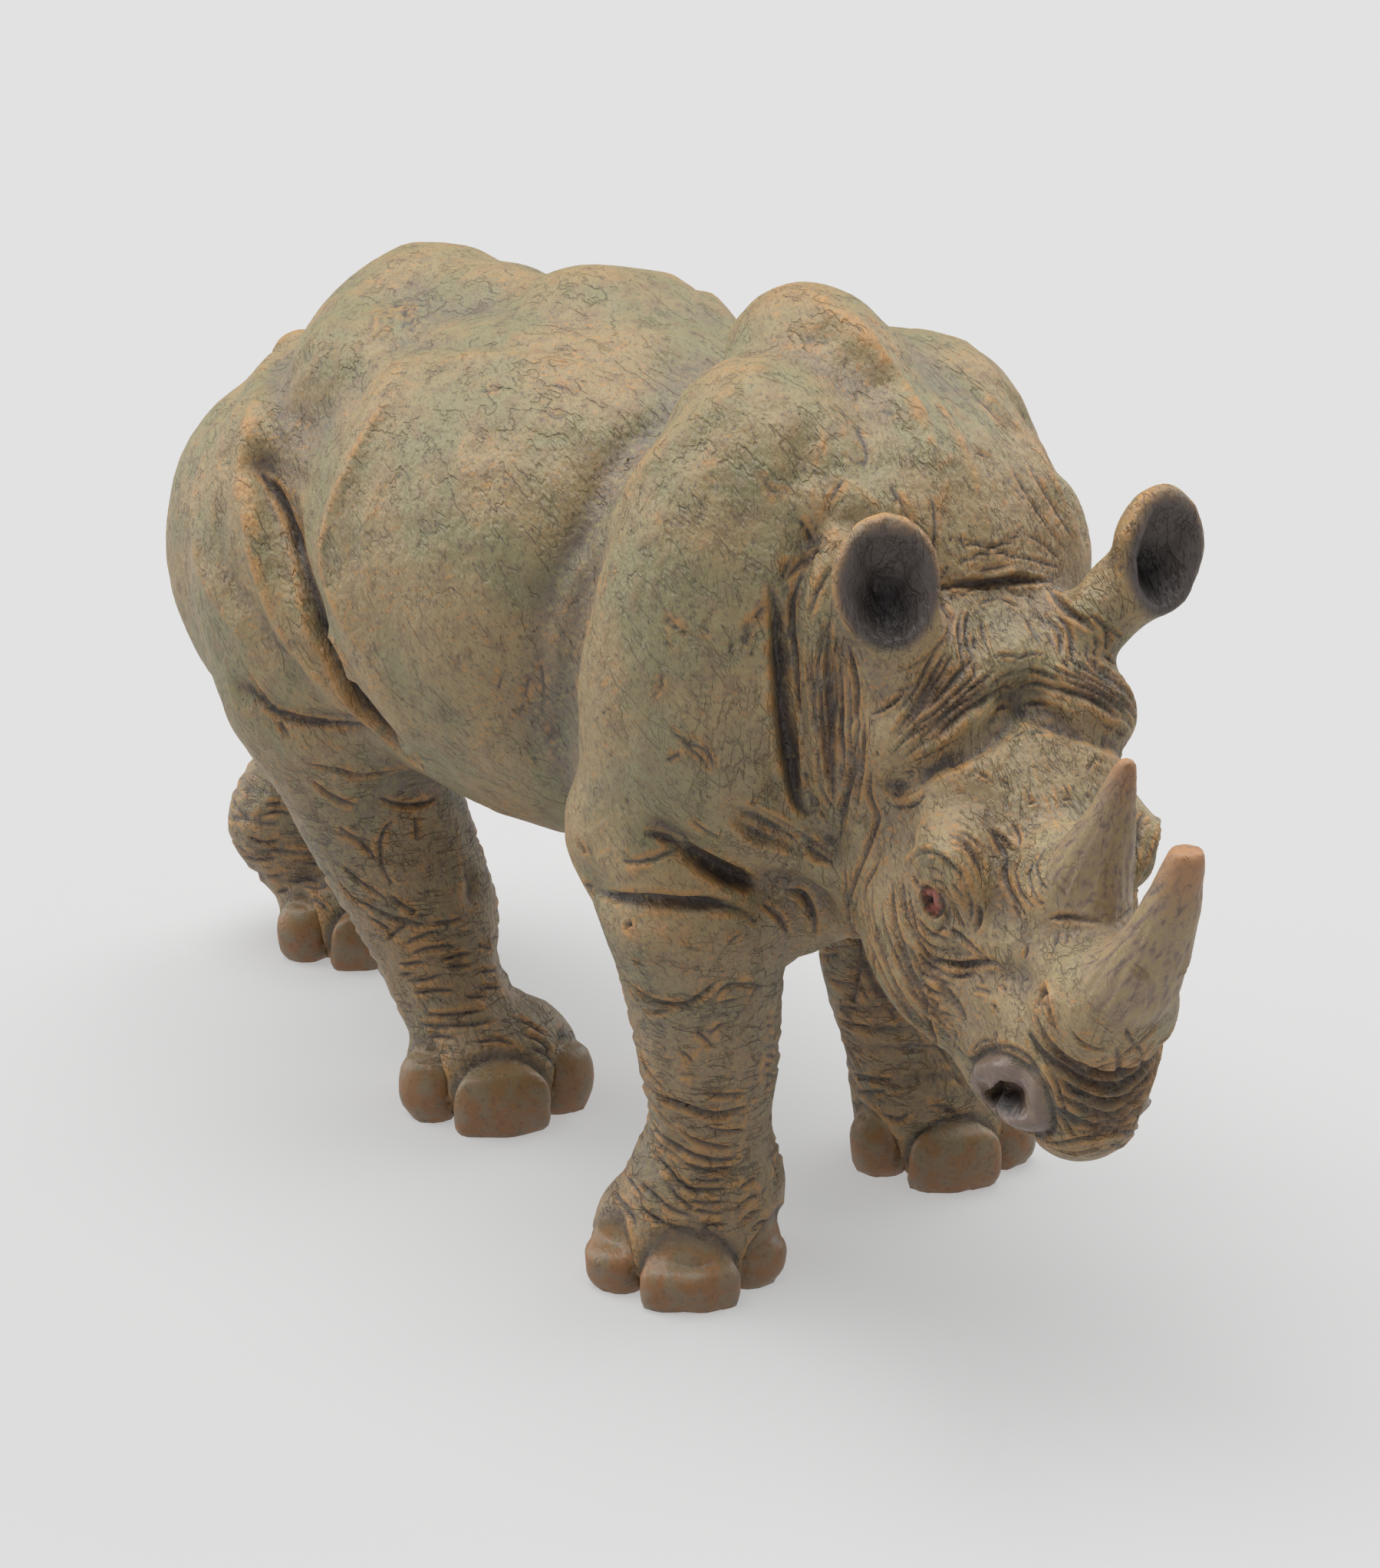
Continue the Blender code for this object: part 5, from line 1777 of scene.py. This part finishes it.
LEG_MARKS: tuple[Stroke | Pleats, ...] = (
    ridge(0.22, 0.14, (994, 1311), (999, 1349), (990, 1413), (973, 1456), (960, 1520), (954, 1563),
        (954, 1623)),
    ridge(0.2, 0.12, (588, 1019), (596, 1078), (600, 1145), (604, 1201), (624, 1264), (644, 1319)),
    hollow(1.2, 0.6, (604, 1121), (616, 1153), (612, 1185)),
    crease(1, 1.3, (891, 1106), (921, 1127), (951, 1142), (985, 1155)),
    crease(0.8, 1.2, (780, 1162), (814, 1170), (857, 1174), (908, 1177), (942, 1180), (985, 1190)),
    crease(0.7, 0.8, (951, 1063), (985, 1088), (1019, 1101), (1058, 1114)),
    *creases(0.5, 0.8, ((817, 1200), (821, 1210)), ((838, 1409), (861, 1430), (891, 1441), (917, 1450),
        (938, 1453), (959, 1447), (983, 1440))),
    crease(0.5, 0.7, (1019, 1161), (1045, 1165), (1058, 1191), (1062, 1221)),
    crease(0.5, 0.5, (976, 1050), (1019, 1076), (1062, 1101), (1088, 1118)),
    crease(0.45, 0.7, (596, 1410), (596, 1434), (592, 1454)),
    *creases(0.45, 0.6, ((808, 1268), (831, 1291), (857, 1306), (891, 1309), (917, 1294), (940, 1274)),
        ((331, 900), (351, 924), (383, 938), (418, 942), (466, 940))),
    *creases(0.4, 0.6, ((490, 1038), (517, 1048), (549, 1048), (573, 1038)), ((466, 1173), (494, 1189),
        (525, 1201), (553, 1202)), ((517, 1394), (533, 1384), (557, 1386), (577, 1402), (584, 1426)),
        ((608, 1418), (608, 1398), (624, 1384))),
    *creases(0.4, 0.5, ((994, 1178), (1015, 1195), (1028, 1221)), ((395, 995), (430, 1001), (470, 1011),
        (517, 1003), (557, 993)), ((403, 1015), (426, 1034), (450, 1046), (470, 1050)), ((751, 1094),
        (766, 1114))),
    *creases(0.4, 0.45, ((1053, 1243), (1072, 1246), (1099, 1246)), ((1075, 1273), (1094, 1282),
        (1119, 1282)), ((1083, 1309), (1105, 1315), (1132, 1315)), ((1091, 1326), (1110, 1337),
        (1141, 1339)), ((1097, 1356), (1113, 1378), (1124, 1397)), ((1105, 1397), (1132, 1406),
        (1173, 1408)), ((1102, 1413), (1121, 1424), (1160, 1422)), ((1154, 1452), (1171, 1460),
        (1187, 1449)), ((1209, 1441), (1237, 1446), (1258, 1465)), ((1226, 1446), (1247, 1449)),
        ((1143, 1487), (1143, 1504)), ((1171, 1479), (1162, 1498), (1157, 1512))),
    *creases(0.4, 0.4, ((747, 1133), (754, 1149), (774, 1157)), ((320, 1090), (343, 1098), (371, 1094)),
        ((312, 1114), (335, 1121), (367, 1117)), ((316, 1137), (343, 1145), (379, 1137)), ((323, 1161),
        (351, 1165), (383, 1157)), ((331, 1066), (359, 1058), (383, 1062)), ((391, 1153), (414, 1157),
        (434, 1153)), ((343, 1050), (367, 1046)), ((359, 1189), (383, 1177), (410, 1173), (434, 1193))),
    crease(0.38, 0.6, (850, 1499), (870, 1524), (891, 1545), (912, 1552), (953, 1549)),
    crease(0.38, 0.55, (848, 1456), (859, 1477), (882, 1494), (908, 1507), (934, 1512), (966, 1507)),
    *creases(0.35, 0.5, ((959, 1182), (976, 1195), (989, 1206)), ((912, 1423), (938, 1428), (976, 1426)),
        ((919, 1468), (946, 1475), (979, 1471)), ((880, 1468), (904, 1485), (934, 1494), (957, 1495)),
        ((880, 1507), (899, 1520), (925, 1526), (961, 1520)), ((539, 1062), (543, 1082), (541, 1098)),
        ((501, 1161), (525, 1181), (557, 1197))),
    *creases(0.35, 0.45, ((833, 1366), (848, 1400), (867, 1422)), ((844, 1428), (861, 1452), (878, 1469)),
        ((827, 1533), (848, 1554), (874, 1576), (904, 1586)), ((823, 1559), (848, 1584), (882, 1601),
        (917, 1606), (951, 1609)), ((795, 1548), (818, 1576), (831, 1601)), ((438, 1074), (458, 1090),
        (486, 1098)), ((517, 1193), (541, 1204), (557, 1204))),
    *creases(0.35, 0.4, ((818, 1124), (848, 1121), (874, 1110), (899, 1106)), ((976, 1606), (994, 1593),
        (1019, 1588)), ((438, 999), (458, 1013), (486, 1007)), ((537, 987), (565, 991)), ((430, 1086),
        (454, 1090), (478, 1106), (494, 1129)), ((525, 1058), (501, 1082), (494, 1110), (501, 1137),
        (517, 1161)), ((438, 1121), (462, 1145), (486, 1161), (509, 1177))),
    *creases(0.34, 0.45, ((517, 1236), (549, 1220), (573, 1212)), ((525, 1248), (557, 1236), (596, 1232)),
        ((517, 1256), (537, 1256), (557, 1252)), ((573, 1252), (604, 1244), (620, 1244)), ((529, 1280),
        (557, 1276), (581, 1268)), ((581, 1260), (616, 1258)), ((537, 1295), (569, 1291), (596, 1291)),
        ((541, 1319), (573, 1323), (616, 1319), (644, 1311)), ((537, 1335), (573, 1337), (616, 1335),
        (652, 1327)), ((533, 1355), (573, 1351), (608, 1355)), ((537, 1371), (565, 1371), (592, 1371)),
        ((541, 1382), (581, 1380)), ((616, 1359), (648, 1355), (675, 1363)), ((668, 1323), (695, 1339),
        (723, 1355)), ((675, 1347), (707, 1359), (723, 1386)), ((679, 1363), (711, 1374), (731, 1402)),
        ((620, 1268), (648, 1264), (660, 1260)), ((624, 1288), (656, 1286)), ((604, 1299), (636, 1299)),
        ((557, 1204), (588, 1201), (608, 1193)), ((501, 1228), (525, 1208), (537, 1208)), ((616, 1228),
        (636, 1236), (656, 1236)), ((517, 1272), (541, 1268))),
    *creases(0.3, 0.4, ((891, 1533), (921, 1539), (953, 1535)), ((891, 1563), (921, 1569), (953, 1565)),
        ((865, 1541), (891, 1567), (917, 1580), (951, 1580)), ((840, 1601), (865, 1614), (899, 1621),
        (951, 1621)), ((805, 1520), (823, 1541), (840, 1563))),
    *creases(0.3, 0.35, ((835, 1084), (861, 1093), (882, 1103)), ((827, 1306), (852, 1318), (891, 1316)),
        ((929, 1306), (942, 1289), (959, 1283), (994, 1285)), ((895, 1593), (925, 1597), (951, 1595)),
        ((844, 1482), (870, 1499), (891, 1512)), ((959, 1554), (976, 1541), (994, 1528)), ((959, 1576),
        (976, 1563), (998, 1552)), ((959, 1601), (976, 1584), (994, 1574)), ((478, 1193), (501, 1208),
        (517, 1216)), ((438, 1145), (458, 1169), (486, 1185))),
    *creases(0.3, 0.3, ((904, 1341), (921, 1356), (934, 1371)), ((823, 1251), (840, 1259)), ((1002, 1503),
        (1011, 1524), (1015, 1550)), ((996, 1324), (1015, 1327)), ((996, 1336), (1015, 1340)), ((996, 1349),
        (1015, 1353)), ((996, 1362), (1015, 1365)), ((996, 1375), (1015, 1378)), ((996, 1388),
        (1015, 1391)), ((996, 1400), (1015, 1404)), ((996, 1413), (1015, 1417))),
    *creases(0.28, 0.3, ((925, 1351), (938, 1337), (955, 1332)), ((874, 1367), (895, 1376), (904, 1388)),
        ((814, 1281), (831, 1302), (848, 1315))),
    *creases(0.28, 0.25, ((882, 1401), (904, 1401)), ((925, 1302), (942, 1306), (976, 1302))),
    *creases(0.25, 0.25, ((891, 1234), (917, 1240)), ((946, 1234), (959, 1221), (976, 1219))),
)


@dataclass
class Sculptor:
    """Carves the whole skin, part by part, and says how each point is painted.

    Attributes:
        view: the camera.
        head: the head's axes.
        maker: makes the skin.
        chest_drop: how much lower the skin of the chest hangs.
    """

    view: PhotoView
    head: HeadFrame
    maker: SkinMaker = field(default_factory=SkinMaker)
    chest_drop: float = 4.6

    def sculpt(self, node: bpy.types.Object, finish: PaintedVinyl) -> bpy.types.Object:
        """Makes the finished skin.

        Args:
            node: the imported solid.
            finish: the paint.

        Returns:
            The finished piece, at the origin.
        """
        legs, horns = Legs(), Horns(self.head)
        ears, face = Ears(), Face(self.head)
        hide = Hide(self.maker.fine(node))
        LOG.info("fine skin: %d points", len(hide.points))
        horns.slim(hide)
        ears.swell(hide)
        self.calm_brow(hide)
        hide.tree = hide.search_tree()
        self.hang_chest(hide)
        hide.tree = hide.search_tree()
        hide.draw(self.view, TRUNK_MARKS, Mirror(back=12.0))
        hide.draw(self.view, HEAD_MARKS, Mirror(self.head))
        hide.draw(self.view, LEG_MARKS, None)
        nails = legs.nail(hide.points)
        legs.carve(hide, self.view)
        face.carve(hide, self.view)
        horns.carve(hide)
        hide.settle()
        smooth_spots = np.maximum.reduce([nails, horns.cover(hide.points)[0] * 0.6,
                                          ears.inside(hide.points, hide.normals) * 0.6])
        layer = hide.mesh.attributes.new("uneven", "FLOAT", "POINT")
        layer.data.foreach_set("value", (1.0 - smooth_spots).astype(np.float32))
        material = finish.material()
        carved = Hide(self.maker.pebbled(hide.mesh, material))
        carved.ink, carved.lip = hide.ink, hide.lip
        carved.points[:, 2] = np.where(carved.points[:, 2] < 0.35, 0.0, carved.points[:, 2])
        carved.write()
        relief = {**self.relief(carved), "nail": nails}
        thin = self.maker.thinned(carved.mesh, self.worth(carved))
        made = bpy.data.objects.new("rhinoceros_hide", thin)
        bpy.context.scene.collection.objects.link(made)
        final = Hide(thin)
        self.carry(carved, final, relief)
        on_horn, rise = horns.cover(final.points)
        marks = {"horn": on_horn, "horn_rise": rise, **self.modelling(final),
                 "ringed": legs.ringed(final.points), "netted": self.netted(final.points),
                 "ear_shade": ears.depth(final.points),
                 "ear_cup": ears.inside(final.points, final.normals), **face.spots(final.points, self.view)}
        for name, values in marks.items():
            self.store(thin, name, values)
        thin.materials.clear()
        thin.materials.append(material)
        thin.shade_smooth()
        LOG.info("finished hide: %d triangles", len(thin.polygons))
        return made

    def calm_brow(self, hide: Hide) -> None:
        """Evens out the deep folds between the ears and the forehead, which the strokes draw finer.

        Args:
            hide: the skin.
        """
        local = self.head.inside(hide.points)
        share = smoothstep(-36.0, -30.0, local[:, 1]) * smoothstep(-2.0, -7.0, local[:, 1])
        share = share * smoothstep(-12.0, -7.0, local[:, 2]) * (hide.points[:, 2] > 60.0)
        share = share * (0.55 + 0.35 * smoothstep(0.0, 6.0, local[:, 0]))
        even = hide.average(hide.points, 60)
        hide.points += (even - hide.points) * share[:, None]
        hide.write()

    def relief(self, hide: Hide) -> dict[str, np.ndarray]:
        """How far each point lies below or above the skin around it.

        Args:
            hide: the carved skin.

        Returns:
            "hollow" and "crest", each from 0 to 1, and the carved "ink" and "lip".
        """
        near = ((hide.average(hide.points, 4) - hide.points) * hide.normals).sum(axis=1)
        wide = ((hide.average(hide.points, 30) - hide.points) * hide.normals).sum(axis=1)
        sunk = near / 0.15 + wide / 1.1
        return {"hollow": np.clip(sunk, 0, 1), "crest": np.clip(-sunk, 0, 1),
                "ink": np.clip(hide.ink, 0, 1), "lip": np.clip(hide.lip, 0, 1)}

    def modelling(self, hide: Hide) -> dict[str, np.ndarray]:
        """Where the broad troughs and swellings of the body are: the troughs get painted shade, and the
        upper swellings get brushed ochre that is also painted light.

        Args:
            hide: the finished skin.

        Returns:
            "trough" and "swelling", each from 0 to 1.
        """
        sunk = ((hide.average(hide.points, 140) - hide.points) * hide.normals).sum(axis=1)
        high = smoothstep(46.0, 60.0, hide.points[:, 2])
        return {"trough": smoothstep(-0.5, 0.8, sunk), "swelling": smoothstep(-0.9, -2.4, sunk) * high}

    def hang_chest(self, hide: Hide) -> None:
        """Lets the skin of the chest hang lower between the forelegs.

        Args:
            hide: the skin.
        """
        middle = hide.cast(self.view, [(1052, 1200), (1056, 1200)])[0]
        away = np.linalg.norm((hide.points - middle) / (5.0, 8.0, 6.5), axis=1)
        hide.points[:, 2] -= self.chest_drop * np.exp(-away ** 2)
        hide.write()

    def netted(self, points: np.ndarray) -> np.ndarray:
        """Where the skin of the head and neck is netted with fine wrinkles, from 0 to 1."""
        away = np.linalg.norm(self.head.inside(points) - (0.0, -24.0, -8.0), axis=1)
        return 0.10 + 0.45 * smoothstep(48.0, 30.0, away) * smoothstep(50.0, 60.0, points[:, 2])

    def worth(self, hide: Hide) -> np.ndarray:
        """How much each point deserves its faces: the head and what the camera sees most.

        Args:
            hide: the carved skin.

        Returns:
            One number from 0 to 1 for each point.
        """
        local = self.head.inside(hide.points)
        head = smoothstep(46.0, 34.0, np.linalg.norm(local - (0.0, -36.0, -8.0), axis=1))
        seen = smoothstep(-0.3, 0.2, hide.normals @ self.view.axes()[2])
        return np.clip(0.15 + 0.45 * head + 0.4 * seen, 0.0, 1.0)

    def carry(self, old: Hide, new: Hide, layers: dict[str, np.ndarray]) -> None:
        """Gives each point of the thinned skin the values of the nearest point before.

        Args:
            old: the skin before thinning.
            new: the skin after it.
            layers: the values of each layer before.
        """
        tree = KDTree(len(old.points))
        for number, place in enumerate(old.points):
            tree.insert(place, number)
        tree.balance()
        nearest = np.array([tree.find(place)[1] for place in new.points])
        for name, values in layers.items():
            self.store(new.mesh, name, values[nearest])

    @staticmethod
    def store(mesh: bpy.types.Mesh, name: str, values: np.ndarray) -> None:
        """Stores one number for each point under a name."""
        layer = mesh.attributes.get(name) or mesh.attributes.new(name, "FLOAT", "POINT")
        layer.data.foreach_set("value", values.astype(np.float32))


@dataclass(frozen=True)
class Studio:
    """A plain pale floor that glows a little, as in a light tent, and broad soft lamps.

    Attributes:
        floor_colour: the floor's paint.
        glow: the light that the floor gives off.
        sky: the strength of the light from all round.
        floor_half: half the floor's side, in metres.
        lamps: the direction, breadth in degrees and strength of each lamp.
    """

    floor_colour: Colour = (0.225, 0.225, 0.225, 1.0)
    glow: float = 0.395
    sky: float = 0.28
    floor_half: float = 6.0
    lamps: Sequence[tuple[str, Point, float, float]] = (
        ("top_light", (-0.05, 0.16, 1.0), 60.0, 3.30),
        ("rear_light", (-0.55, 1.00, 0.45), 45.0, 1.2),
        ("right_light", (1.0, 0.05, 0.60), 45.0, 1.0),
    )

    def build(self) -> None:
        """Makes the floor, the world and the lamps."""
        world = bpy.data.worlds.new("studio")
        world.use_nodes = True
        background = world.node_tree.nodes["Background"]
        background.inputs["Color"].default_value = (1.0, 1.0, 1.0, 1.0)
        background.inputs["Strength"].default_value = self.sky
        bpy.context.scene.world = world
        bpy.context.scene.view_settings.view_transform = "Standard"
        mesh = bpy.data.meshes.new("floor")
        side = self.floor_half
        mesh.from_pydata([(-side, -side, 0), (side, -side, 0), (side, side, 0), (-side, side, 0)], [],
                         [(0, 1, 2, 3)])
        floor = bpy.data.objects.new("floor", mesh)
        bpy.context.scene.collection.objects.link(floor)
        paint = bpy.data.materials.new("studio_floor")
        paint.use_nodes = True
        shader = paint.node_tree.nodes["Principled BSDF"]
        shader.inputs["Base Color"].default_value = self.floor_colour
        shader.inputs["Roughness"].default_value = 1.0
        shader.inputs["Specular IOR Level"].default_value = 0.0
        shader.inputs["Emission Color"].default_value = (1.0, 1.0, 1.0, 1.0)
        shader.inputs["Emission Strength"].default_value = self.glow
        mesh.materials.append(paint)
        for name, direction, breadth, strength in self.lamps:
            data = bpy.data.lights.new(name, "SUN")
            data.angle = math.radians(breadth)
            data.energy = strength
            lamp = bpy.data.objects.new(name, data)
            bpy.context.scene.collection.objects.link(lamp)
            lamp.rotation_euler = Vector(direction).to_track_quat("Z", "Y").to_euler()


def main() -> None:
    """Builds the figurine and its studio, in order."""
    logging.basicConfig(level=logging.INFO, format="%(name)s: %(message)s")
    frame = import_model()
    view = PhotoView()
    view.camera()
    Studio().build()
    piece = Sculptor(view, HeadFrame()).sculpt(frame["nodes"][NODE], PaintedVinyl())
    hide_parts(NODE)
    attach(piece, BODY)
    LOG.info("%s rides on %s", piece.name, BODY)


if __name__ == "__main__":
    main()
